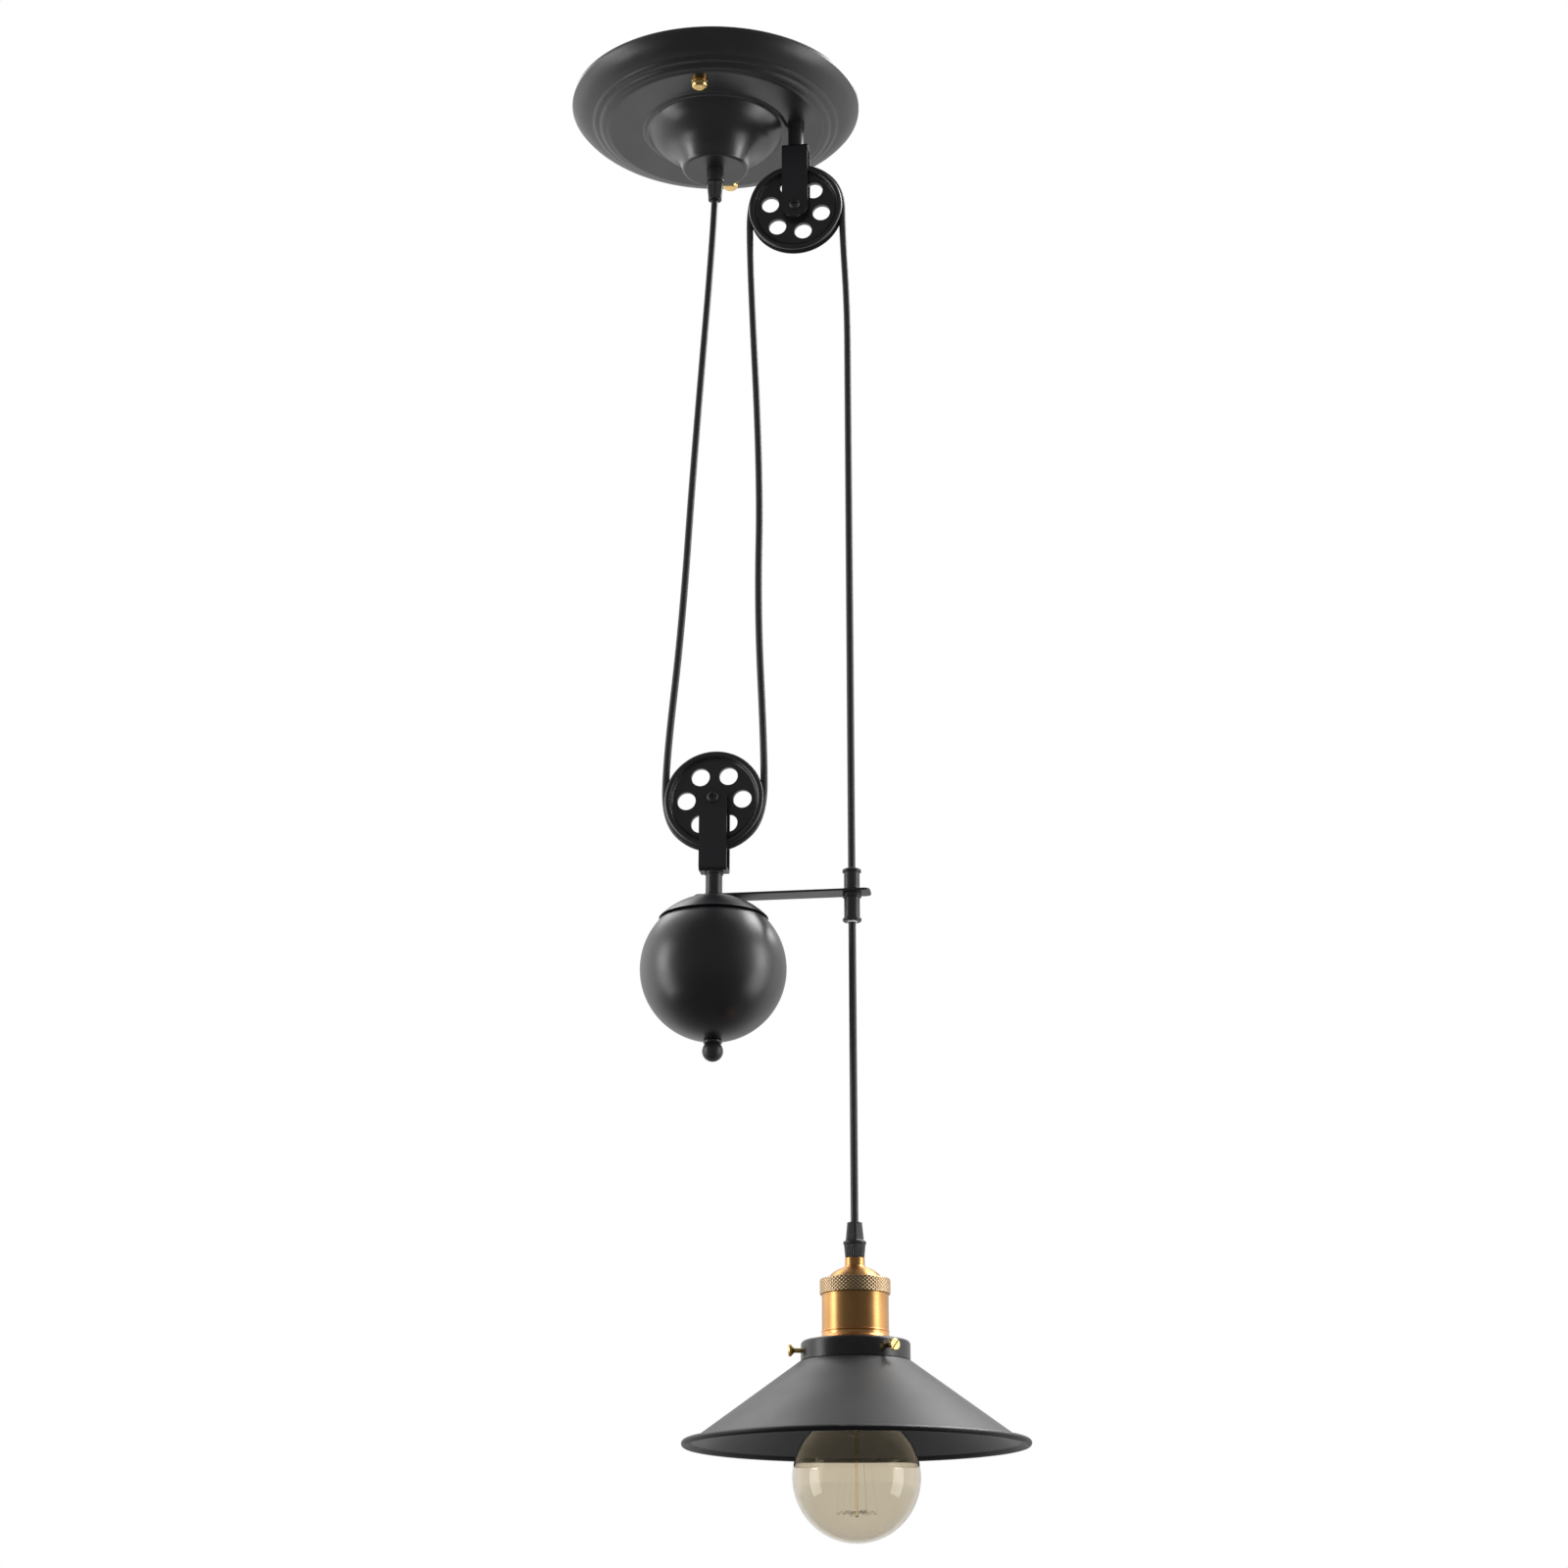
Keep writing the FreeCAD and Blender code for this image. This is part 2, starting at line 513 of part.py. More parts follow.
def build_strap():
    """Fixing strap with two ceiling slots and the holes of the cover's studs."""
    body = new_body("mounting_strap")
    sketch = new_sketch(body, "strap_outline", "XY_Plane")
    half_w, half_l = "strap_width / 2", "strap_length / 2"
    add_loop(
        sketch,
        [
            (f"-{half_w}", f"-{half_l}"),
            (half_w, f"-{half_l}"),
            (half_w, half_l),
            (f"-{half_w}", half_l),
        ],
    )
    for side in ("", "-"):
        slot_mid = f"{side}(slot_spacing / 2)"
        reach = "(slot_length - slot_width) / 2"
        slot_half = "slot_width / 2"
        low, high = f"{slot_mid} - {reach}", f"{slot_mid} + {reach}"
        add_loop(
            sketch,
            [
                (f"-{slot_half}", low, slot_half, 1),
                ("0", f"{low} - {slot_half}", slot_half, 1),
                (slot_half, low),
                (slot_half, high, slot_half, 1),
                ("0", f"{high} + {slot_half}", slot_half, 1),
                (f"-{slot_half}", high),
            ],
        )
        add_circle(sketch, "0", f"{side}(stud_spacing / 2)", "stud_diameter / 2")
    plate = body.newObject("PartDesign::Pad", "strap_plate")
    plate.Profile = sketch
    bind(plate, Length="strap_thick")
    plate.Reversed = True
    keep(body)


def build_studs():
    """Two studs with their lock nuts, and the cap nuts with a groove round the middle."""
    reach = "cap_nut_length * 0.6"
    stud = doc.addObject("Part::Cylinder", "stud")
    bind(stud, Radius="stud_diameter / 2", Height=f"canopy_shelf_depth + {reach}")
    place(stud, y="stud_spacing / 2", z=f"-canopy_shelf_depth - {reach}")
    lock = prism_nut("stud_lock_nut", "small_nut_flats", "small_nut_thick", "stud_diameter / 2")
    place(lock, y="stud_spacing / 2", z="-strap_thick - small_nut_thick")
    bore = "stud_diameter / 2"
    outer = "cap_nut_diameter / 2"
    groove, foot = f"{outer} * 0.84", "-cap_nut_length"
    crown = "(cap_nut_length * 0.38)"
    cap = turned(
        "cap_nut",
        [
            (bore, "0"),
            (outer, "0"),
            (outer, f"{foot} * 0.26"),
            (groove, f"{foot} * 0.31"),
            (groove, f"{foot} * 0.40"),
            (outer, f"{foot} * 0.45"),
            (outer, f"{foot} + {crown}", crown, -1),
            (f"{outer} - {crown}", foot),
            ("0", foot),
            ("0", f"{foot} * 0.65"),
            (bore, f"{foot} * 0.65"),
        ],
    )
    place(cap, y="stud_spacing / 2", z="shelf_z")
    keep(
        mirrored_pair("strap_studs", stud),
        mirrored_pair("stud_lock_nuts", lock),
        mirrored_pair("cap_nuts", cap),
    )


def build_terminal_block():
    """White block with three ways, each with two clamping screws and one wire entry."""
    block = doc.addObject("Part::Box", "block_blank")
    bind(block, Length="block_width", Width="block_length", Height="block_height")
    top = "-strap_thick"
    bottom = f"{top} - block_height"
    place(block, x="-block_width / 2", y="-block_length / 2", z=bottom)
    ways = []
    screws = []
    for way in (-1, 0, 1):
        along = f"block_length / 3 * {way}"
        for side in (-1, 1):
            name = f"{way + 2}{side + 2}"
            across = f"block_width / 4 * {side}"
            pit = doc.addObject("Part::Cylinder", "screw_pit_" + name)
            bind(pit, Radius="block_pit_diameter / 2", Height=f"block_pit_depth + {CUT_OVER}")
            place(pit, x=across, y=along, z=f"{bottom} - {CUT_OVER}")
            ways.append(pit)
            screw = doc.addObject("Part::Cylinder", "block_screw_" + name)
            bind(screw, Radius="block_screw_diameter / 2", Height="block_screw_length")
            place(screw, x=across, y=along, z=f"{bottom} + block_screw_depth")
            screws.append(screw)
        entry = doc.addObject("Part::Cylinder", f"wire_entry_{way + 2}")
        bind(entry, Radius="block_entry_diameter / 2", Height=f"block_width + {2 * CUT_OVER}")
        entry.Placement.Rotation = FreeCAD.Rotation(FreeCAD.Vector(0, 1, 0), 90)
        entry_z = f"{bottom} + block_entry_height"
        place(entry, x=f"-block_width / 2 - {CUT_OVER}", y=along, z=entry_z)
        ways.append(entry)
    hollow = doc.addObject("Part::MultiFuse", "block_hollows")
    hollow.Shapes = ways
    cut = doc.addObject("Part::Cut", "terminal_block")
    cut.Base = block
    cut.Tool = hollow
    cut.Label = "terminal_block"
    keep(cut, grouped("terminal_screws", screws))


def build_earth_screw():
    """Flat screw head on the strap, half way between a ceiling screw slot and a stud."""
    top, head = "-strap_thick", "earth_head_diameter / 2"
    screw = turned(
        "earth_screw",
        [
            ("0", top),
            (head, top),
            (head, f"{top} - earth_head_height * 0.67"),
            (f"{head} * 0.8", f"{top} - earth_head_height"),
            ("0", f"{top} - earth_head_height"),
        ],
    )
    place(screw, y="(stud_spacing + slot_spacing + slot_length) / 4")
    keep(screw)


def build_rose_grip():
    """Cord grip of the cover: threaded body with collar, lock nut inside, tapered nut outside."""
    bore = "bore_radius"
    thread = "grip_thread / 2"
    collar, lip = "grip_collar_diameter / 2", "grip_lip_diameter / 2"
    seat = "-canopy_depth"
    thread_top = f"{seat} + grip_thread_length"
    collar_foot = f"{seat} - grip_collar_height"
    tip = f"{collar_foot} - grip_lip_height"
    body = turned(
        "rose_grip_body",
        [
            (bore, thread_top),
            (thread, thread_top),
            (thread, seat),
            (collar, seat),
            (collar, collar_foot),
            (lip, f"{collar_foot} - grip_lip_height * 0.15"),
            (lip, tip),
            (bore, tip),
        ],
    )
    small, large, edge = "grip_nut_small / 2", "grip_nut_large / 2", "grip_nut_edge"
    nut = turned(
        "rose_grip_nut",
        [
            (bore, tip),
            (large, tip),
            (large, f"{tip} - grip_nut_height * 0.14"),
            (small, f"grip_mouth_z + {edge}", edge, -1),
            (f"{small} - {edge}", "grip_mouth_z"),
            (bore, "grip_mouth_z"),
        ],
    )
    lock = prism_nut("rose_grip_lock_nut", "lock_nut_flats", "lock_nut_thick", thread)
    place(lock, z=f"{seat} + canopy_wall")
    keep(body, nut, lock)


# ---------------------------------------------------------------- pulleys and their brackets
def build_bracket(label, x, axle_z, up):
    """U of flat strap, its base away from the axle; up is 1 where the base is above the axle."""
    body = new_body(label)
    half, inner, thick = "leg_half", "bracket_gap / 2", "bracket_thick"
    reach = "bracket_reach" if up > 0 else "-bracket_reach"
    back = f"{reach} - {thick}" if up > 0 else f"{reach} + {thick}"
    foot = "-bracket_width / 2" if up > 0 else "bracket_width / 2"
    bend = f"{reach} - bracket_bend" if up > 0 else f"{reach} + bracket_bend"
    turn = -1 if up > 0 else 1
    sketch = new_sketch(body, label + "_side", "YZ_Plane")
    add_loop(
        sketch,
        [
            (f"-{half}", foot),
            (f"-{half}", bend, "bracket_bend", turn),
            (f"-{half} + bracket_bend", reach),
            (f"{half} - bracket_bend", reach, "bracket_bend", turn),
            (half, bend),
            (half, foot),
            (inner, foot),
            (inner, back),
            (f"-{inner}", back),
            (f"-{inner}", foot),
        ],
    )
    strap = body.newObject("PartDesign::Pad", label + "_strap")
    strap.Profile = sketch
    strap.Midplane = True
    bind(strap, Length="bracket_width")
    ends = new_sketch(body, label + "_ends", "XZ_Plane")
    corner, beyond = "(bracket_width / 2)", f"(bracket_width / 2 + {CUT_OVER})"
    side = "-" if up > 0 else ""
    for hand in ("", "-"):
        square = [
            (hand + corner, "0", corner, (-1 if hand == "" else 1) * up),
            ("0", side + corner),
            ("0", side + beyond),
            (hand + beyond, side + beyond),
            (hand + beyond, "0"),
        ]
        add_loop(ends, square)
    rounding = body.newObject("PartDesign::Pocket", label + "_rounding")
    rounding.Profile = ends
    rounding.Type = "ThroughAll"
    rounding.Midplane = True
    cut_holes(body, label + "_axle_hole", [("0", "0", "axle_diameter / 2 + running_gap")], "XZ_Plane")
    cut_holes(body, label + "_stem_hole", [("0", "0", "rod_hole")])
    place(body, x=x, z=axle_z)
    keep(body)


def build_axle(name, x, axle_z):
    """Axle screw with its head in front, spacer sleeve between the legs and nut at the back."""
    shank, head = "axle_diameter / 2", "axle_head_diameter / 2"
    face = "-leg_half"
    tail = "leg_half + small_nut_thick + axle_tail"
    crown, rim = f"{face} - axle_head_height", f"{face} - axle_head_height * 0.3"
    screw = turned(
        name + "_axle_screw",
        [
            (crown, "0"),
            (crown, f"{head} / 2", f"{head} * 0.62", -1),
            (rim, head),
            (face, head),
            (face, shank),
            (tail, shank),
            (tail, "0"),
        ],
        axis="Y",
    )
    slot_sketch = new_sketch(screw, name + "_recess_outline", "XZ_Plane")
    arm, blade = "(recess_span / 2)", "(recess_width / 2)"
    add_loop(
        slot_sketch,
        [
            (blade, arm),
            (f"-{blade}", arm),
            (f"-{blade}", blade),
            (f"-{arm}", blade),
            (f"-{arm}", f"-{blade}"),
            (f"-{blade}", f"-{blade}"),
            (f"-{blade}", f"-{arm}"),
            (blade, f"-{arm}"),
            (blade, f"-{blade}"),
            (arm, f"-{blade}"),
            (arm, blade),
            (blade, blade),
        ],
    )
    recess_floor = "leg_half + axle_head_height - recess_depth"
    slot_sketch.AttachmentOffset = FreeCAD.Placement(
        FreeCAD.Vector(0, 0, value(recess_floor)), FreeCAD.Rotation()
    )
    slot_sketch.setExpression("AttachmentOffset.Base.z", spelled(recess_floor))
    recess = screw.newObject("PartDesign::Pocket", name + "_recess")
    recess.Profile = slot_sketch
    recess.Type = "Length"
    bind(recess, Length=f"recess_depth + {CUT_OVER}")
    recess.Reversed = True
    place(screw, x=x, z=axle_z)
    sleeve = turned(
        name + "_axle_sleeve",
        [
            ("-bracket_gap / 2", f"{shank} + running_gap"),
            ("-bracket_gap / 2", "sleeve_diameter / 2"),
            ("bracket_gap / 2", "sleeve_diameter / 2"),
            ("bracket_gap / 2", f"{shank} + running_gap"),
        ],
        axis="Y",
    )
    place(sleeve, x=x, z=axle_z)
    nut = prism_nut(name + "_axle_nut", "small_nut_flats", "small_nut_thick", shank)
    nut.Placement.Rotation = FreeCAD.Rotation(FreeCAD.Vector(1, 0, 0), -90)
    place(nut, x=x, y="leg_half", z=axle_z)
    keep(screw, sleeve, nut)


def build_pulley(label, x, axle_z, hole_angle):
    """Grooved wheel with a thin web, a boss and six round holes, the first of them hole_angle
    degrees below the horizontal as seen from the front."""
    bore = "sleeve_diameter / 2 + running_gap"
    boss_half = "(bracket_gap / 2 - side_gap)"
    boss, web = "pulley_boss / 2", "pulley_web / 2"
    rim_in, flange = "pulley_rim_inner / 2", "pulley_diameter / 2"
    half, bead, edge = "pulley_width / 2", "pulley_bead", "pulley_edge"
    groove = "bore_radius"
    wheel = turned(
        label,
        [
            (f"-{boss_half}", bore),
            (f"-{boss_half}", f"{boss} - boss_edge"),
            (f"-{boss_half} + boss_edge", boss),
            (f"-{web}", boss),
            (f"-{web}", f"{rim_in} - pulley_cove"),
            (f"-{half} + {bead}", rim_in, bead, -1),
            (f"-{half}", f"{rim_in} + {bead}"),
            (f"-{half}", f"{flange} - {edge}", edge, -1),
            (f"-{half} + {edge}", flange),
            (f"-({groove})", flange),
            (f"-({groove})", "cord_turn", groove, 1),
            ("0", "cord_turn - bore_radius", groove, 1),
            (groove, "cord_turn"),
            (groove, flange),
            (f"{half} - {edge}", flange, edge, -1),
            (half, f"{flange} - {edge}"),
            (half, f"{rim_in} + {bead}", bead, -1),
            (f"{half} - {bead}", rim_in),
            (web, f"{rim_in} - pulley_cove"),
            (web, boss),
            (f"{boss_half} - boss_edge", boss),
            (boss_half, f"{boss} - boss_edge"),
            (boss_half, bore),
        ],
        axis="Y",
    )
    hole = cut_holes(
        wheel,
        label + "_hole",
        [("pulley_hole_circle / 2", "0", "pulley_hole / 2")],
        "XZ_Plane",
    )
    ring = wheel.newObject("PartDesign::PolarPattern", label + "_holes")
    ring.Originals = [hole]
    axes = [part for part in wheel.Origin.OriginFeatures if part.Role == "Y_Axis"]
    ring.Axis = (axes[0], [""])
    ring.Angle = 360
    ring.Occurrences = 6
    wheel.Tip = ring
    wheel.Placement.Rotation = FreeCAD.Rotation(FreeCAD.Vector(0, 1, 0), hole_angle)
    place(wheel, x=x, z=axle_z)
    keep(wheel)


def build_upper_hanger():
    """Spacer tube under the cover, its bolt from inside the bracket and the nut in the cover."""
    outer, bore = "stem_diameter / 2", "rod_hole"
    collar = "stem_collar / 2"
    stem = turned(
        "upper_stem",
        [
            (bore, "upper_base_z"),
            (outer, "upper_base_z"),
            (outer, "shelf_z - stem_collar_height"),
            (collar, "shelf_z - stem_collar_height"),
            (collar, "shelf_z"),
            (bore, "shelf_z"),
        ],
    )
    place(stem, x="upper_pulley_x")
    shank = "rod_diameter / 2"
    head, head_height = "bolt_head_diameter / 2", "bolt_head_height"
    seat = "upper_base_z - bracket_thick"
    bolt_top = "shelf_z + canopy_wall + nut_thick + rod_tail"
    bolt = turned(
        "upper_bolt",
        [
            ("0", f"{seat} - {head_height}"),
            (f"{head} * 0.7", f"{seat} - {head_height}", f"{head_height} * 0.6", 1),
            (head, f"{seat} - {head_height} * 0.55"),
            (head, seat),
            (shank, seat),
            (shank, bolt_top),
            ("0", bolt_top),
        ],
    )
    place(bolt, x="upper_pulley_x")
    nut = prism_nut("upper_bolt_nut", "nut_flats", "nut_thick", shank)
    place(nut, x="upper_pulley_x", z="shelf_z + canopy_wall")
    keep(stem, bolt, nut)


# ---------------------------------------------------------------- ball weight
def build_weight():
    """Spacer tube, ball of two shells round a cast slug, small ball below and the rod in all."""
    outer, collar, bore = "stem_diameter / 2", "stem_collar / 2", "rod_hole"
    stem = turned(
        "weight_stem",
        [
            (bore, "arm_top_z"),
            (collar, "arm_top_z"),
            (collar, "arm_top_z + stem_end_height"),
            (outer, "arm_top_z + stem_end_height"),
            (outer, "lower_base_z - stem_end_height"),
            (collar, "lower_base_z - stem_end_height"),
            (collar, "lower_base_z"),
            (bore, "lower_base_z"),
        ],
    )
    ball, wall = "ball_radius", "ball_wall"
    flat = "ball_flat_height"
    foot = f"sqrt({ball} ^ 2 - ({bore}) ^ 2)"
    flat_r = f"sqrt({ball} ^ 2 - {flat} ^ 2)"
    inner = f"({ball} - {wall})"
    inner_flat = f"({flat} - {wall})"
    inner_flat_r = f"sqrt({inner} ^ 2 - {inner_flat} ^ 2)"
    inner_foot = f"sqrt({inner} ^ 2 - ({bore}) ^ 2)"
    shell = turned(
        "weight_shell",
        [
            (bore, f"-{foot}", ball, 1),
            (ball, "0", ball, 1),
            (flat_r, flat),
            (bore, flat),
            (bore, inner_flat),
            (inner_flat_r, inner_flat, inner, -1),
            (inner, "0", inner, -1),
            (bore, f"-{inner_foot}"),
        ],
    )
    edge = "cap_edge_height"
    cap_in, cap_out = "cap_inner", "cap_outer"
    low, high = f"({flat} + seat_gap)", f"({flat} + seat_gap + cap_wall)"
    cap = turned(
        "weight_cap",
        [
            (f"sqrt(({cap_in}) ^ 2 - {edge} ^ 2)", edge),
            (f"sqrt(({cap_out}) ^ 2 - {edge} ^ 2)", edge, cap_out, 1),
            (f"sqrt(({cap_out}) ^ 2 - {high} ^ 2)", high),
            (bore, high),
            (bore, low),
            (f"sqrt(({cap_in}) ^ 2 - {low} ^ 2)", low, cap_in, -1),
        ],
    )
    slug_half, slug_r = "ballast_height / 2", "ballast_diameter / 2"
    slug = turned(
        "weight_ballast",
        [
            (bore, f"-{slug_half}"),
            (f"{slug_r} - ballast_bevel", f"-{slug_half}"),
            (slug_r, f"-{slug_half} + ballast_bevel"),
            (slug_r, f"{slug_half} - ballast_bevel"),
            (f"{slug_r} - ballast_bevel", slug_half),
            (bore, slug_half),
        ],
    )
    for piece in (shell, cap, slug):
        place(piece, x="weight_x", z="ball_z")
    place(stem, x="weight_x")
    shank = "rod_diameter / 2"
    rod_top = "lower_base_z + bracket_thick + nut_thick + rod_tail"
    end_z = "ball_z - ball_radius - finial_diameter / 2"
    rod = doc.addObject("Part::Cylinder", "weight_rod")
    rod.Label = "weight_rod"
    bind(rod, Radius=shank, Height=f"{rod_top} - ({end_z})")
    place(rod, x="weight_x", z=end_z)
    nuts = []
    for name, height in (
        ("top", "lower_base_z + bracket_thick"),
        ("over_slug", "ball_z + ballast_height / 2"),
        ("under_slug", "ball_z - ballast_height / 2 - nut_thick"),
    ):
        nut = prism_nut("rod_nut_" + name, "nut_flats", "nut_thick", shank)
        place(nut, x="weight_x", z=height)
        nuts.append(nut)
    drop = "ball_z - ball_radius"
    knob = "finial_diameter / 2"
    disc, disc_foot = "finial_collar / 2", f"{drop} - finial_collar_height"
    waist = f"sqrt(({knob}) ^ 2 - (({knob}) - finial_collar_height) ^ 2)"
    finial = turned(
        "finial",
        [
            (shank, drop),
            (disc, drop),
            (disc, disc_foot),
            (waist, disc_foot, knob, -1),
            (knob, f"{drop} - {knob}", knob, -1),
            ("0", f"{drop} - finial_diameter"),
            ("0", f"{drop} - {knob}"),
            (shank, f"{drop} - {knob}"),
        ],
    )
    place(finial, x="weight_x")
    keep(stem, shell, cap, slug, rod, grouped("weight_rod_nuts", nuts), finial)


def build_guide_arm():
    """Flat arm from the ball's rod to the ferrules that the lamp's cord slides through."""
    body = new_body("guide_arm")
    sketch = new_sketch(body, "arm_outline", "XY_Plane")
    half, soft = "arm_width / 2", "arm_corner"
    left, right = "weight_x - arm_end", "lamp_x + arm_end"
    add_loop(
        sketch,
        [
            (f"{left} + {soft}", f"-{half}"),
            (f"{right} - {soft}", f"-{half}", soft, 1),
            (right, f"-{half} + {soft}"),
            (right, f"{half} - {soft}", soft, 1),
            (f"{right} - {soft}", half),
            (f"{left} + {soft}", half, soft, 1),
            (left, f"{half} - {soft}"),
            (left, f"-{half} + {soft}", soft, 1),
        ],
    )
    add_circle(sketch, "weight_x", "0", "rod_hole")
    add_circle(sketch, "lamp_x", "0", "ferrule_spigot + running_gap")
    plate = body.newObject("PartDesign::Pad", "arm_plate")
    plate.Profile = sketch
    bind(plate, Length="arm_thick")
    place(body, z="arm_bottom_z")
    keep(body)


def build_ferrules():
    """Two ferrules screwed together through the arm, and the white liner that the cord rubs on."""
    bore = "bore_radius"
    lined = f"({bore} + liner_wall)"
    outer, flange = "ferrule_diameter / 2", "ferrule_flange / 2"
    edge, thick, seat = "ferrule_edge", "ferrule_flange_height", "ferrule_seat_height"
    top = "arm_top_z + ferrule_upper_length"
    foot = "arm_bottom_z - ferrule_lower_length"
    upper = turned(
        "ferrule_upper",
        [
            (lined, "arm_top_z"),
            (f"{outer} + {edge}", "arm_top_z"),
            (f"{outer} + {edge}", f"arm_top_z + {thick}"),
            (outer, f"arm_top_z + {thick} + {edge}"),
            (outer, f"{top} - {thick} - {edge}"),
            (flange, f"{top} - {thick}"),
            (flange, f"{top} - {edge}"),
            (f"{flange} - {edge}", top),
            (lined, top),
        ],
    )
    lower = turned(
        "ferrule_lower",
        [
            (lined, foot),
            (f"{flange} - {edge}", foot),
            (flange, f"{foot} + {edge}"),
            (flange, f"{foot} + {thick}"),
            (outer, f"{foot} + {thick} + {edge}"),
            (outer, f"arm_bottom_z - {seat} - {edge}"),
            (flange, f"arm_bottom_z - {seat}"),
            (flange, "arm_bottom_z"),
            ("ferrule_spigot", "arm_bottom_z"),
            ("ferrule_spigot", "arm_top_z"),
            (lined, "arm_top_z"),
        ],
    )
    liner = tube("ferrule_liner", bore, lined, f"{foot} - liner_lip", f"{top} + liner_lip")
    for piece in (upper, lower, liner):
        place(piece, x="lamp_x")
    keep(upper, lower, liner)


# ---------------------------------------------------------------- lamp
def build_lamp_grip():
    """Cord grip of the lamp: ribbed body screwed into the holder, tapered nut on top of it."""
    bore, thread, flange = "bore_radius", "grip_thread / 2", "grip_flange / 2"
    small, large, edge = "grip_nut_small / 2", "grip_nut_large / 2", "grip_nut_edge"
    nut = turned(
        "lamp_grip_nut",
        [
            (bore, "lamp_collar_z"),
            (flange, "lamp_collar_z"),
            (flange, "lamp_collar_z + grip_flange_height"),
            (large, f"lamp_collar_z + grip_flange_height + {edge} / 2"),
            (small, f"lamp_grip_z - {edge}", edge, 1),
            (f"{small} - {edge}", "lamp_grip_z"),
            (bore, "lamp_grip_z"),
        ],
    )
    thread_foot = "neck_top_z - grip_thread_length"
    body = turned(
        "lamp_grip_body",
        [
            (bore, thread_foot),
            (thread, thread_foot),
            (thread, "neck_top_z"),
            ("grip_body_small / 2", "neck_top_z"),
            ("grip_body_large / 2", "lamp_collar_z"),
            (bore, "lamp_collar_z"),
        ],
    )
    for piece in (nut, body):
        place(piece, x="lamp_x")
    keep(nut, body)


def build_lampholder():
    """Cap with its dome, knurled ring, brushed body, flared ring under it and ring nut inside."""
    wall, slip = "holder_wall", "slip_gap"
    neck, thread = "holder_neck_diameter / 2", "grip_thread / 2"
    ring, dome = "ring_diameter / 2", "dome_diameter / 2"
    body = "holder_diameter / 2"
    ring_in, edge = f"({ring} - ring_wall)", "ring_edge"
    seam = f"seam_z - {wall}"
    under_dome = f"dome_top_z - dome_shoulder - {wall}"
    cap = turned(
        "holder_cap",
        [
            (thread, "neck_top_z"),
            (neck, "neck_top_z"),
            (neck, "dome_top_z"),
            (f"{neck} + dome_shoulder", "dome_top_z - dome_shoulder", "dome_bend", -1),
            (dome, "ring_top_z"),
            (dome, "seam_z"),
            (f"{ring_in} - {slip}", "seam_z"),
            (f"{ring_in} - {slip}", seam),
            (f"{dome} - {wall}", seam),
            (f"{dome} - {wall}", "ring_top_z", f"dome_bend - {wall}", 1),
            (f"{neck} + dome_shoulder / 2", under_dome),
            (thread, under_dome),
        ],
    )
    knurl = turned(
        "holder_ring",
        [
            (f"{body} + {slip}", "ring_bottom_z"),
            (f"{ring} - {edge}", "ring_bottom_z"),
            (ring, f"ring_bottom_z + {edge}"),
            (ring, f"ring_top_z - {edge}"),
            (f"{ring} - {edge}", "ring_top_z"),
            (f"{dome} + {slip}", "ring_top_z"),
            (f"{dome} + {slip}", f"seam_z + {slip}"),
            (ring_in, f"seam_z + {slip}"),
            (ring_in, seam),
            (f"{body} + {slip}", seam),
        ],
    )
    shell = turned(
        "holder_body",
        [
            (f"tube_radius - {wall}", "tube_bottom_z"),
            ("tube_radius", "tube_bottom_z"),
            ("tube_radius", "holder_bottom_z"),
            (body, "holder_bottom_z"),
            (body, seam),
            (f"{body} - {wall}", seam),
            (f"{body} - {wall}", f"holder_bottom_z + {wall}"),
            (f"tube_radius - {wall}", f"holder_bottom_z + {wall}"),
        ],
    )
    band_z = "gallery_top_z + skirt_band_height"
    skirt = turned(
        "holder_skirt",
        [
            ("tube_hole", "gallery_top_z"),
            ("skirt_diameter / 2", "gallery_top_z"),
            ("skirt_diameter / 2", band_z, "skirt_flare_height * 2", -1),
            (body, f"{band_z} + skirt_flare_height"),
            (body, "holder_bottom_z"),
            ("tube_hole", "holder_bottom_z"),
        ],
    )
    nut_top = "gallery_top_z - gallery_wall"
    nut_foot = f"{nut_top} - gallery_nut_width"
    ring_nut = tube("gallery_nut", "tube_hole", "tube_hole + gallery_nut_width", nut_foot, nut_top)
    for piece in (cap, knurl, shell, skirt, ring_nut):
        place(piece, x="lamp_x")
    keep(cap, knurl, shell, skirt, ring_nut)


def build_socket():
    """Ceramic insert, threaded shell and centre contact inside the lampholder."""
    outer = "tube_radius - holder_wall - slip_gap"
    thread_in = "socket_thread_inner / 2"
    thread_out = f"({thread_in} + socket_thread_wall)"
    foot, floor = "tube_bottom_z + insert_inset", "contact_z + contact_height"
    cord_room = "bore_radius + insert_slack"
    insert = turned(
        "socket_insert",
        [
            (f"{thread_out} + slip_gap", foot),
            (outer, foot),
            (outer, f"{floor} + insert_height"),
            (cord_room, f"{floor} + insert_height"),
            (cord_room, f"{floor} + insert_floor"),
            ("0", f"{floor} + insert_floor"),
            ("0", floor),
            (f"{thread_out} + slip_gap", floor),
        ],
    )
    shell = tube("socket_thread", thread_in, thread_out, foot, floor)
    narrow = "contact_diameter / 2"
    contact = turned(
        "contact_strip",
        [("0", "contact_z"), (narrow, "contact_z"), (f"{narrow} * 1.3", floor), ("0", floor)],
    )
    for piece in (insert, shell, contact):
        place(piece, x="lamp_x")
    keep(insert, shell, contact)


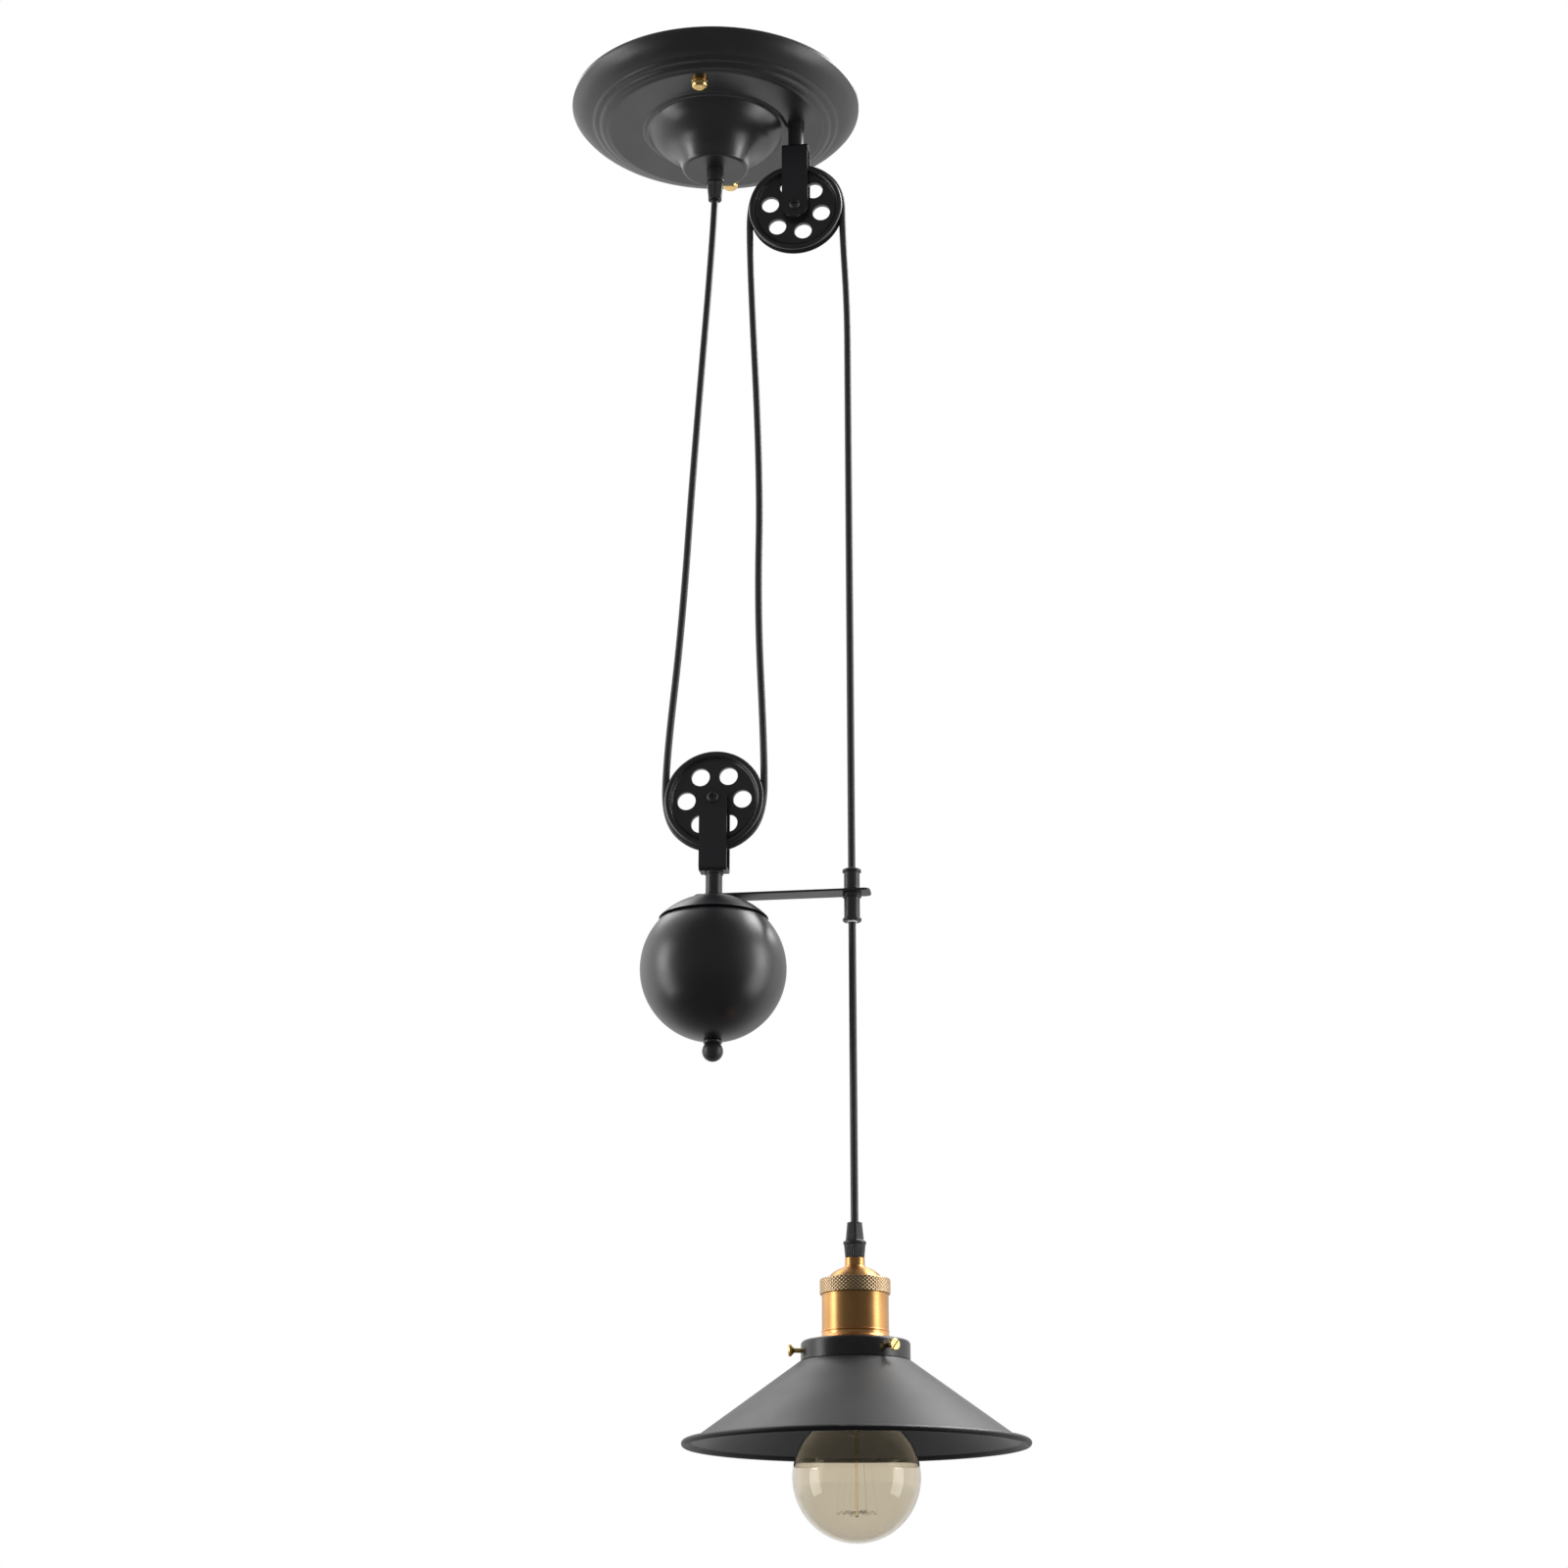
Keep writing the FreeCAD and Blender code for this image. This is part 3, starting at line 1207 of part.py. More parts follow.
def build_gallery():
    """Black carrier: a shallow cup that hangs on the holder's tube and takes the shade's collar."""
    wall, edge = "gallery_wall", "gallery_edge"
    outer = "gallery_diameter / 2"
    top, foot = "gallery_top_z", "gallery_bottom_z"
    body = turned(
        "gallery",
        [
            ("tube_hole", top),
            (f"{outer} - {edge}", top, edge, -1),
            (outer, f"{top} - {edge}"),
            (outer, foot),
            (f"{outer} - {wall}", foot),
            (f"{outer} - {wall}", f"{top} - {edge}", f"{edge} - {wall}", 1),
            (f"{outer} - {edge}", f"{top} - {wall}"),
            ("tube_hole", f"{top} - {wall}"),
        ],
    )
    for number, angle in enumerate(SCREW_ANGLES, start=1):
        drill = new_sketch(body, f"screw_hole_outline_{number}", "YZ_Plane")
        drill.AttachmentOffset = FreeCAD.Placement(
            FreeCAD.Vector(0, 0, 0), FreeCAD.Rotation(FreeCAD.Vector(0, 1, 0), angle)
        )
        add_circle(drill, "0", "screw_z", "screw_diameter / 2")
        hole_cut = body.newObject("PartDesign::Pocket", f"screw_hole_{number}")
        hole_cut.Profile = drill
        hole_cut.Type = "Length"
        hole_cut.Reversed = True
        bind(hole_cut, Length=f"{outer} + {CUT_OVER}")
    place(body, x="lamp_x")
    keep(body)


# The three thumb screws: name, direction seen from above, and how far the slot is turned, degrees.
THUMB_SCREWS = [
    ("thumb_screw_front", -48.0, 50.0),
    ("thumb_screw_left", 192.0, -25.0),
    ("thumb_screw_rear", 72.0, 10.0),
]
SCREW_ANGLES = [screw[1] for screw in THUMB_SCREWS]


def build_thumb_screws():
    """Three slotted screws through the carrier's wall; each tip bears on the shade's collar."""
    shank, head = "(screw_diameter / 2 - screw_air)", "screw_head_diameter / 2"
    tip = "shade_neck_diameter / 2 + seat_gap"
    end = "gallery_diameter / 2 + screw_standout"
    seat = f"{end} - screw_head_thick"
    bevel, blade = "screw_head_bevel", "screw_slot_width / 2"
    for name, angle, roll in THUMB_SCREWS:
        screw = turned(
            name,
            [
                (tip, "0"),
                (tip, f"{shank} - screw_tip_bevel"),
                (f"{tip} + screw_tip_bevel", shank),
                (f"{seat} - screw_neck", shank),
                (seat, f"{head} - {bevel}"),
                (f"{seat} + {bevel}", head),
                (f"{end} - {bevel}", head),
                (end, f"{head} - {bevel}"),
                (end, "0"),
            ],
            axis="X",
        )
        groove = new_sketch(screw, name + "_slot_outline", "XZ_Plane")
        add_loop(
            groove,
            [
                (f"{end} - screw_slot_depth", f"-{blade}"),
                (f"{end} + {CUT_OVER}", f"-{blade}"),
                (f"{end} + {CUT_OVER}", blade),
                (f"{end} - screw_slot_depth", blade),
            ],
        )
        slot = screw.newObject("PartDesign::Pocket", name + "_slot")
        slot.Profile = groove
        slot.Type = "ThroughAll"
        slot.Midplane = True
        heading = FreeCAD.Rotation(FreeCAD.Vector(0, 0, 1), angle)
        screw.Placement.Rotation = heading * FreeCAD.Rotation(FreeCAD.Vector(1, 0, 0), roll)
        place(screw, x="lamp_x", z="screw_z")
        keep(screw)


def build_shade():
    """Spun cone with a collar inside the carrier and a rolled rim."""
    wall, bead = "shade_wall", "rim_bead / 2"
    neck = "shade_neck_diameter / 2"
    neck_top = "gallery_bottom_z + shade_neck_height"
    shoulder, shoulder_z = "gallery_diameter / 2 + shade_shoulder", "gallery_bottom_z - shade_step"
    rim, middle = "shade_diameter / 2", "shade_diameter / 2 - rim_bead / 2"
    shade = turned(
        "shade",
        [
            (f"{neck} - {wall}", neck_top),
            (neck, neck_top),
            (neck, f"{shoulder_z} + {wall} / 2"),
            (shoulder, shoulder_z),
            (f"{rim} - rim_bead", f"rim_z + {bead}", bead, -1),
            (middle, "rim_z + rim_bead", bead, -1),
            (rim, f"rim_z + {bead}", bead, -1),
            (middle, "rim_z"),
            (f"{rim} - rim_bead + {wall} / 2", "rim_z + rim_return"),
            (f"{shoulder} - {wall} / 2", f"{shoulder_z} - {wall}"),
            (f"{neck} - {wall}", f"{shoulder_z} - {wall}"),
        ],
    )
    place(shade, x="lamp_x")
    keep(shade)


def build_bulb():
    """Glass globe with its neck in a screw cap, and the glass stem that carries the filament."""
    wall, globe = "bulb_wall", "globe_radius"
    cap, cap_wall = "bulb_cap_diameter / 2", "bulb_cap_wall"
    neck = f"({cap} - {cap_wall} - slip_gap)"
    throat = f"({cap} + bulb_throat)"
    meet_z = f"sqrt({globe} ^ 2 - {throat} ^ 2)"
    inner = f"({globe} - {wall})"
    inner_z = f"sqrt({inner} ^ 2 - ({throat} - {wall}) ^ 2)"
    neck_top = "cap_foot_z + bulb_neck_depth"
    glass = turned(
        "bulb_glass",
        [
            ("0", "globe_z - globe_radius", globe, 1),
            (globe, "globe_z", globe, 1),
            (throat, f"globe_z + {meet_z}"),
            (neck, "cap_foot_z"),
            (neck, neck_top),
            (f"{neck} - {wall}", neck_top),
            (f"{neck} - {wall}", "cap_foot_z"),
            (f"{throat} - {wall}", f"globe_z + {inner_z}", inner, -1),
            (inner, "globe_z", inner, -1),
            ("0", f"globe_z - {inner}"),
        ],
    )
    tip, tip_r = "(contact_z - seat_gap)", "bulb_tip_diameter / 2"
    cone_z = f"{tip} - bulb_cap_cone"
    screw_cap = turned(
        "bulb_cap",
        [
            (f"{cap} - {cap_wall}", "cap_foot_z"),
            (cap, "cap_foot_z"),
            (cap, cone_z),
            (f"{tip_r} + 1", f"{tip} - bulb_cap_cone * 0.3"),
            (tip_r, tip),
            ("0", tip),
            ("0", f"{tip} - bulb_cap_cone * 0.4"),
            (f"{tip_r} + {cap_wall}", f"{tip} - bulb_cap_cone * 0.4"),
            (f"{cap} - {cap_wall}", f"{cone_z} - {cap_wall}"),
        ],
    )
    press = f"({neck} - {wall} - slip_gap)"
    waist, rod = "bulb_stem_width / 2", "bulb_rod_diameter / 2"
    press_top = "cap_foot_z + bulb_neck_depth / 2"
    rod_top = "globe_z + filament_rise + bulb_rod_diameter * 2"
    rod_end = "globe_z - filament_drop - bulb_rod_diameter / 2"
    stem = turned(
        "bulb_stem",
        [
            ("0", press_top),
            (press, press_top),
            (press, f"{press_top} - bulb_rod_diameter"),
            (waist, f"({press_top} + {rod_top}) / 2"),
            (f"{waist} * 0.7", f"{rod_top} + bulb_rod_diameter"),
            (rod, rod_top),
            (rod, rod_end, rod, -1),
            ("0", f"{rod_end} - {rod}"),
        ],
    )
    for piece in (glass, screw_cap, stem):
        place(piece, x="lamp_x")
    keep(glass, screw_cap, stem)


FILAMENT_LEGS = 6


def build_filament():
    """Cage of fine wires between a small upper and a wide lower star on the glass rod."""
    top_z, foot_z = value("globe_z + filament_rise"), value("globe_z - filament_drop")
    wires = []

    def add_wire(name, start, end):
        wire = doc.addObject("Part::Cylinder", name)
        bind(wire, Radius="wire_radius")
        wire.Height = (end - start).Length
        heading = FreeCAD.Rotation(FreeCAD.Vector(0, 0, 1), end - start)
        wire.Placement = FreeCAD.Placement(start, heading)
        wires.append(wire)

    for number in range(FILAMENT_LEGS):
        turn = FreeCAD.Rotation(FreeCAD.Vector(0, 0, 1), 360.0 * number / FILAMENT_LEGS)
        high = turn.multVec(FreeCAD.Vector(value("filament_upper_reach"), 0, 0))
        low = turn.multVec(FreeCAD.Vector(value("filament_lower_reach"), 0, 0))
        high.z, low.z = top_z, foot_z
        add_wire(f"upper_spoke_{number}", FreeCAD.Vector(0, 0, top_z), high)
        add_wire(f"filament_leg_{number}", high, low)
        add_wire(f"lower_spoke_{number}", FreeCAD.Vector(0, 0, foot_z), low)
    space = doc.addObject("Part::Cylinder", "rod_space")
    bind(space, Radius="bulb_rod_diameter / 2")
    bind(space, Height=f"filament_rise + filament_drop + {2 * CUT_OVER}")
    place(space, z=f"globe_z - filament_drop - {CUT_OVER}")
    joined = doc.addObject("Part::MultiFuse", "filament_wires")
    joined.Shapes = wires
    cage = doc.addObject("Part::Cut", "filament")
    cage.Base = joined
    cage.Tool = space
    cage.Label = "filament"
    place(cage, x="lamp_x")
    keep(cage)


# ---------------------------------------------------------------- cord
# Centre lines in the XZ plane, top to bottom, as points (x, z); ends are tied to what they meet.
LEG_DOWN_POINTS = [(0, -92), (-13.5, -285), (-20.5, -412), (-30.5, -512)]
LEG_UP_POINTS = [(26, -128), (34.4, -302), (32.5, -402), (37.5, -506)]
DROP_POINTS = [(94, -112), (97, -172)]


def cord_tube(label, points):
    """Round tube along straight runs joined by tangent arcs as large as the runs allow."""
    spots = [FreeCAD.Vector(x, 0, z) for x, z in points]
    edges = []
    radii = []
    last = spots[0]
    for before, corner, after in zip(spots, spots[1:], spots[2:]):
        inward, onward = corner - before, after - corner
        turn = inward.getAngle(onward)
        shorter = min(inward.Length, onward.Length)
        cut = 0.45 * shorter
        radius = cut / math.tan(turn / 2)
        radii.append(round(radius))
        start = corner - inward.normalize() * cut
        end = corner + onward.normalize() * cut
        bisector = (start + end) / 2 - corner
        depth = radius / math.cos(turn / 2) - radius
        middle = corner + bisector.normalize() * depth
        edges.append(Part.LineSegment(last, start).toShape())
        edges.append(Part.Arc(start, middle, end).toShape())
        last = end
    edges.append(Part.LineSegment(last, spots[-1]).toShape())
    path = Part.Wire(edges)
    heading = (spots[1] - spots[0]).normalize()
    ring = Part.Wire(Part.Circle(spots[0], heading, value("cord_radius")).toShape())
    solid = path.makePipeShell([ring], True, False)
    length = path.Length
    expected = math.pi * value("cord_radius") ** 2 * length
    print(f"{label}: {length:.1f} mm, radii {radii}, volume {solid.Volume / expected:.5f} of section")
    piece = doc.addObject("Part::Feature", label)
    piece.Shape = solid
    piece.Label = label
    return piece


def cord_bight(label, x, z, over):
    """Half turn of cord round a pulley, over it or under it."""
    bight = doc.addObject("Part::Torus", label)
    bight.Label = label
    bind(bight, Radius1="cord_turn", Radius2="cord_radius")
    bight.Angle3 = 180
    bight.Placement.Rotation = FreeCAD.Rotation(FreeCAD.Vector(1, 0, 0), 90 if over else -90)
    place(bight, x=x, z=z)
    return bight


def build_cord():
    upper_x, lower_x = value("upper_pulley_x"), value("weight_x")
    upper_z, lower_z = value("upper_z"), value("lower_z")
    turn = value("cord_turn")
    grip_z = value("-canopy_depth - grip_collar_height")
    block_z = value("-strap_thick - block_height - seat_gap")
    drop_end = value("neck_top_z - grip_thread_length")
    tail = cord_tube("cord_tail", [(0, block_z), (0, grip_z)])
    leg_down = [(0, grip_z)] + LEG_DOWN_POINTS + [(lower_x - turn, lower_z)]
    leg_up = [(upper_x - turn, upper_z)] + LEG_UP_POINTS + [(lower_x + turn, lower_z)]
    drop = [(upper_x + turn, upper_z)] + DROP_POINTS + [(value("lamp_x"), drop_end)]
    keep(
        tail,
        cord_tube("cord_leg_down", leg_down),
        cord_tube("cord_leg_up", leg_up),
        cord_tube("cord_drop", drop),
        cord_bight("cord_upper_bight", "upper_pulley_x", "upper_z", True),
        cord_bight("cord_lower_bight", "weight_x", "lower_z", False),
    )


# ---------------------------------------------------------------- build and write
def main():
    build_canopy()
    build_strap()
    build_studs()
    build_terminal_block()
    build_earth_screw()
    build_rose_grip()
    build_upper_hanger()
    build_bracket("upper_bracket", "upper_pulley_x", "upper_z", 1)
    build_axle("upper", "upper_pulley_x", "upper_z")
    build_pulley("upper_pulley", "upper_pulley_x", "upper_z", 14.0)
    build_bracket("lower_bracket", "weight_x", "lower_z", -1)
    build_axle("lower", "weight_x", "lower_z")
    build_pulley("lower_pulley", "weight_x", "lower_z", 0.0)
    build_weight()
    build_guide_arm()
    build_ferrules()
    build_lamp_grip()
    build_lampholder()
    build_socket()
    build_gallery()
    build_thumb_screws()
    build_shade()
    build_bulb()
    build_filament()
    build_cord()
    doc.recompute()

    for thing in doc.Objects:
        if "Invalid" in thing.State or "Error" in thing.State:
            raise RuntimeError(f"{thing.Label} did not build: {thing.State}")
    os.makedirs("parts", exist_ok=True)
    for node in NODES:
        shape = node.Shape
        if shape.isNull() or not shape.isValid() or not shape.Solids:
            raise RuntimeError(f"{node.Label} has no valid solid")
        shape.exportStep(f"parts/{node.Label}.step")
    print(len(NODES), "nodes written")


main()
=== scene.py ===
"""Dresses the rise and fall pendant: its cords, materials, fine trim, camera and studio light.

Lengths are in metres, on the frame's own axes: Z points up, and the camera stands on the -Y side.
"""

import math

import bmesh
import bpy
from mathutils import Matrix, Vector


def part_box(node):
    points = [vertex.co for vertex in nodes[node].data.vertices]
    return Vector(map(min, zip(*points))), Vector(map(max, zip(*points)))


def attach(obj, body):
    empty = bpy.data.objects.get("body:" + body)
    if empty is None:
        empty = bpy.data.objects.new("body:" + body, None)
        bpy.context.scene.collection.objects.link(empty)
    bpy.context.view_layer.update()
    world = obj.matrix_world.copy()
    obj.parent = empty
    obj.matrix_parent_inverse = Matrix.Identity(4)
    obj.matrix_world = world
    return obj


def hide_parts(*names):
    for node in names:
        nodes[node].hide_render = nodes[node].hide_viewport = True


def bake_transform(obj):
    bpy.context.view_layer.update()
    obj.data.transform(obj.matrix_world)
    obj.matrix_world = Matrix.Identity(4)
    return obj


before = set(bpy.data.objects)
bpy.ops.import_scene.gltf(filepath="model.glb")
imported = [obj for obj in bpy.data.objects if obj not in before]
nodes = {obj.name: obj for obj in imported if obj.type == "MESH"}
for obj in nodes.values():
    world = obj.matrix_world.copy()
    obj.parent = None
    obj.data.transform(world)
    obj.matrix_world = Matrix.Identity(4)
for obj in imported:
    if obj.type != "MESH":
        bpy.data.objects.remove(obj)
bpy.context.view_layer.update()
scene = bpy.context.scene

MM = 0.001
FULL_TURN = 2 * math.pi
UP = Vector((0, 0, 1))
WHITE = (1, 1, 1, 1)
LAMP_X = 0.097
LAMP_AXIS = (LAMP_X, 0)
COVER_AXIS = (0, 0)


def half_width(node):
    low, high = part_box(node)
    return (high[0] - low[0]) / 2


# ------------------------------------------------------------------ small mesh tools
def add_object(name, data):
    obj = bpy.data.objects.new(name, data)
    scene.collection.objects.link(obj)
    return obj


def turn_faces_out(mesh):
    work = bmesh.new()
    work.from_mesh(mesh)
    bmesh.ops.recalc_face_normals(work, faces=work.faces)
    work.to_mesh(mesh)
    work.free()


def mesh_object(name, verts, faces):
    """A smoothly shaded object whose faces all look outward."""
    mesh = bpy.data.meshes.new(name)
    mesh.from_pydata([tuple(v) for v in verts], [], faces)
    mesh.validate()
    turn_faces_out(mesh)
    for polygon in mesh.polygons:
        polygon.use_smooth = True
    return add_object(name, mesh)


def tube_parts(points, radius, sides, level):
    """Vertices and faces of a round tube; level is a direction that the line never takes."""
    verts = []
    for index, point in enumerate(points):
        before = points[max(index - 1, 0)]
        after = points[min(index + 1, len(points) - 1)]
        along = (after - before).normalized()
        out = along.cross(level).normalized()
        across = out.cross(along)
        for side in range(sides):
            angle = FULL_TURN * side / sides
            verts.append(point + (out * math.cos(angle) + across * math.sin(angle)) * radius)
    last = len(verts) - sides
    faces = []
    for first in range(0, last, sides):
        for side in range(sides):
            here, there = first + side, first + (side + 1) % sides
            faces.append((here, there, there + sides, here + sides))
    faces.append(tuple(range(sides))[::-1])
    faces.append(tuple(range(last, last + sides)))
    return verts, faces


def joined_mesh(name, parts):
    """Several sets of vertices and faces as one object."""
    verts, faces = [], []
    for part_verts, part_faces in parts:
        first = len(verts)
        verts += part_verts
        faces += [tuple(first + corner for corner in face) for face in part_faces]
    return mesh_object(name, verts, faces)


def ring_mesh(name, profile, sides, axis, shape=None):
    """A closed (radius, z) profile swept round an upright axis.

    shape(angle, radius, z, index) may give a point of the profile another radius at each angle.
    """
    x, y = axis
    verts = []
    for side in range(sides):
        angle = FULL_TURN * side / sides
        for index, (radius, z) in enumerate(profile):
            if shape:
                radius = shape(angle, radius, z, index)
            verts.append((x + radius * math.cos(angle), y + radius * math.sin(angle), z))
    count = len(profile)
    faces = []
    for side in range(sides):
        here, there = side * count, (side + 1) % sides * count
        for index in range(count):
            after = (index + 1) % count
            faces.append((here + index, there + index, there + after, here + after))
    return mesh_object(name, verts, faces)


# ------------------------------------------------------------------ camera
# It stands lower than the pendant, looks up at its middle and turns a little toward -X.
CAMERA_PLACE = (0.3016, -1.7819, -1.1341)
CAMERA_TILT = 108.52  # degrees up from straight down
CAMERA_TURN = 8  # degrees from the Y axis
SENSOR_WIDTH = 36  # mm
FOCAL_LENGTH = 64.125  # mm
CAMERA_REACH = 50


def make_camera():
    data = bpy.data.cameras.new("camera")
    data.sensor_width = SENSOR_WIDTH
    data.lens = FOCAL_LENGTH
    data.clip_end = CAMERA_REACH
    camera = add_object("camera", data)
    camera.location = CAMERA_PLACE
    camera.rotation_euler = (math.radians(CAMERA_TILT), 0, math.radians(CAMERA_TURN))
    scene.camera = camera


# ------------------------------------------------------------------ shader nodes
NOISE_LOW, NOISE_HIGH = 0.3, 0.7  # most of a noise lies between these values


class Nodes:
    """Adds shader nodes to a tree and links them; its textures follow the coordinates coords."""

    def __init__(self, tree, space):
        self.tree = tree
        self.coords = self.node("ShaderNodeTexCoord").outputs[space]

    def node(self, kind, numbers=None, **settings):
        """A new node with its settings, and with the numbers that its sockets hold."""
        made = self.tree.nodes.new(kind)
        for key, setting in settings.items():
            setattr(made, key, setting)
        for socket, number in (numbers or {}).items():
            made.inputs[socket].default_value = number
        return made

    def link(self, source, target):
        self.tree.links.new(source, target)

    def split(self, vector):
        """The X, Y and Z of a vector."""
        made = self.node("ShaderNodeSeparateXYZ")
        self.link(vector, made.inputs[0])
        return made.outputs

    def ramp(self, source, stops, curve="LINEAR"):
        """Colours along the source's value; the stops rise, each one (place, colour)."""
        made = self.node("ShaderNodeValToRGB")
        made.color_ramp.interpolation = curve
        elements = made.color_ramp.elements
        elements[0].position, elements[-1].position = stops[0][0], stops[-1][0]
        elements[0].color, elements[-1].color = (*stops[0][1], 1), (*stops[-1][1], 1)
        for place, color in stops[1:-1]:
            elements.new(place).color = (*color, 1)
        self.link(source, made.inputs["Fac"])
        return made.outputs["Color"]

    def span(self, source, first, last, low, high, curve="LINEAR"):
        """Goes from low to high while the source goes from first to last."""
        limits = {"From Min": first, "From Max": last, "To Min": low, "To Max": high}
        made = self.node("ShaderNodeMapRange", limits, interpolation_type=curve)
        self.link(source, made.inputs["Value"])
        return made.outputs["Result"]

    def shown_to(self, seen, mirrored, lit):
        """One shader for the camera and through glass, one that gloss mirrors, one for the rest."""
        path = self.node("ShaderNodeLightPath")
        clear = self.node("ShaderNodeMath", operation="MAXIMUM")
        self.link(path.outputs["Is Camera Ray"], clear.inputs[0])
        self.link(path.outputs["Is Transmission Ray"], clear.inputs[1])
        result = lit
        for share, shader in ((path.outputs["Is Glossy Ray"], mirrored), (clear.outputs[0], seen)):
            mix = self.node("ShaderNodeMixShader")
            self.link(share, mix.inputs[0])
            self.link(result, mix.inputs[1])
            self.link(shader, mix.inputs[2])
            result = mix.outputs[0]
        return result


class MaterialNodes(Nodes):
    SOCKETS = {
        "color": "Base Color",
        "metallic": "Metallic",
        "roughness": "Roughness",
        "ior": "IOR",
        "specular": "Specular IOR Level",
        "anisotropic": "Anisotropic",
        "rotation": "Anisotropic Rotation",
        "tangent": "Tangent",
        "transmission": "Transmission Weight",
        "normal": "Normal",
    }

    def __init__(self, name):
        self.material = bpy.data.materials.new(name)
        self.material.use_nodes = True
        super().__init__(self.material.node_tree, "Object")
        self.shader = self.tree.nodes["Principled BSDF"]

    def noise(self, scale, detail, roughness=0.5, stretch=None):
        numbers = {"Scale": scale, "Detail": detail, "Roughness": roughness}
        made = self.node("ShaderNodeTexNoise", numbers)
        place = self.coords
        if stretch:
            mapping = self.node("ShaderNodeMapping", {"Scale": stretch})
            self.link(place, mapping.inputs["Vector"])
            place = mapping.outputs["Vector"]
        self.link(place, made.inputs["Vector"])
        return made.outputs["Fac"]

    def clouded(self, color, spread, noise):
        """The colour, which the noise makes darker and lighter by the share spread."""
        darker = tuple(c * (1 - spread) for c in color)
        lighter = tuple(min(1, c * (1 + spread)) for c in color)
        return self.ramp(noise, [(NOISE_LOW, darker), (NOISE_HIGH, lighter)])

    def uneven(self, value, less, more, noise):
        """The value, which the noise lowers and raises by as much as less and more."""
        return self.span(noise, NOISE_LOW, NOISE_HIGH, value - less, value + more)

    def bump(self, noise, strength, height):
        made = self.node("ShaderNodeBump", {"Strength": strength, "Distance": height})
        self.link(noise, made.inputs["Height"])
        return made.outputs["Normal"]

    def finish(self, **values):
        """Gives the shader each value: a number, a colour or the output of another node."""
        for key, value in values.items():
            socket = self.shader.inputs[self.SOCKETS[key]]
            if isinstance(value, bpy.types.NodeSocket):
                self.link(value, socket)
            else:
                socket.default_value = (*value, 1) if key == "color" else value
        return self.material


# ------------------------------------------------------------------ materials
GLASS_IOR = 1.46
RIM_PAINTED_SHADE = 0.2  # painted shade: the rim's colour as a share of the coat's
RIM_GLOSS = 0.25
RIM_BLEND = 0.1  # how softly the rim ends, as a share of its height
KNURL_TIP = half_width("holder_ring")
GROOVE_DEPTH, TIP_DEPTH = 0.75 * MM, 0.05 * MM  # below the tips of the knurl
GROOVE_TONE = 0.16  # the grooves' colour as a share of the metal's


def powder_coat(b, color, roughness):
    """Colour, roughness and normal of a coat: cloudy, unevenly dull, with a fine orange peel."""
    return {
        "color": b.clouded(color, spread=0.16, noise=b.noise(scale=14, detail=5, roughness=0.55)),
        "roughness": b.uneven(roughness, less=0.03, more=0.04, noise=b.noise(scale=38, detail=4)),
        "normal": b.bump(b.noise(scale=1500, detail=2), strength=0.03, height=0.2 * MM),
    }


def black_paint(name, color, roughness, gloss=0.5):
    """Powder coat all over the piece."""
    b = MaterialNodes(name)
    return b.finish(specular=gloss, **powder_coat(b, color, roughness))


def paint_with_painted_rim_shade(name, color, roughness, gloss, rim_share):
    """Powder coat with painted shade on the rolled rim, the lowest share of the height: darker
    there, and less glossy.
    """
    b = MaterialNodes(name)
    height = b.split(b.node("ShaderNodeTexCoord").outputs["Generated"])["Z"]
    above = b.span(height, rim_share * (1 - RIM_BLEND), rim_share * (1 + RIM_BLEND), 0.0, 1.0)
    coat = powder_coat(b, color, roughness)
    # Painted shade: the rim takes a darkened copy of the coat's colour.
    mixed = b.node("ShaderNodeMix", data_type="RGBA")
    b.link(above, mixed.inputs[0])
    mixed.inputs["A"].default_value = (*(c * RIM_PAINTED_SHADE for c in color), 1)
    b.link(coat["color"], mixed.inputs["B"])
    coat["color"] = mixed.outputs["Result"]
    return b.finish(specular=b.span(above, 0.0, 1.0, RIM_GLOSS, gloss), **coat)


def plain_metal(name, color, roughness, spread=0.1, grain=0.05):
    """Plated, turned or cast metal with a faint cloud and a fine grain."""
    b = MaterialNodes(name)
    return b.finish(
        metallic=1.0,
        color=b.clouded(color, spread=spread, noise=b.noise(scale=60, detail=5)),
        roughness=b.uneven(roughness, less=0.05, more=0.07, noise=b.noise(scale=150, detail=4)),
        normal=b.bump(b.noise(scale=2200, detail=2), strength=grain, height=0.1 * MM),
    )


def knurled_metal(name, color, roughness):
    """Aged metal on the lamp's axis, darker in the grooves of the knurl than on its tips."""
    b = MaterialNodes(name)
    level = b.node("ShaderNodeVectorMath", {1: (1, 1, 0)}, operation="MULTIPLY")
    b.link(b.coords, level.inputs[0])
    radius = b.node("ShaderNodeVectorMath", {1: (LAMP_X, 0, 0)}, operation="DISTANCE")
    b.link(level.outputs["Vector"], radius.inputs[0])
    first, last = KNURL_TIP - GROOVE_DEPTH, KNURL_TIP - TIP_DEPTH
    height = b.span(radius.outputs["Value"], first, last, 0.0, 1.0)
    groove_color = tuple(c * GROOVE_TONE for c in color)
    # From the ring's inside to the tips: plain metal, the darker grooves and the tips in the
    # metal's own colour.
    stops = [(0.0, color), (0.15, color), (0.30, groove_color), (0.45, groove_color), (1.0, color)]
    return b.finish(
        metallic=1.0,
        color=b.ramp(height, stops),
        roughness=b.uneven(roughness, less=0.04, more=0.06, noise=b.noise(scale=150, detail=4)),
    )


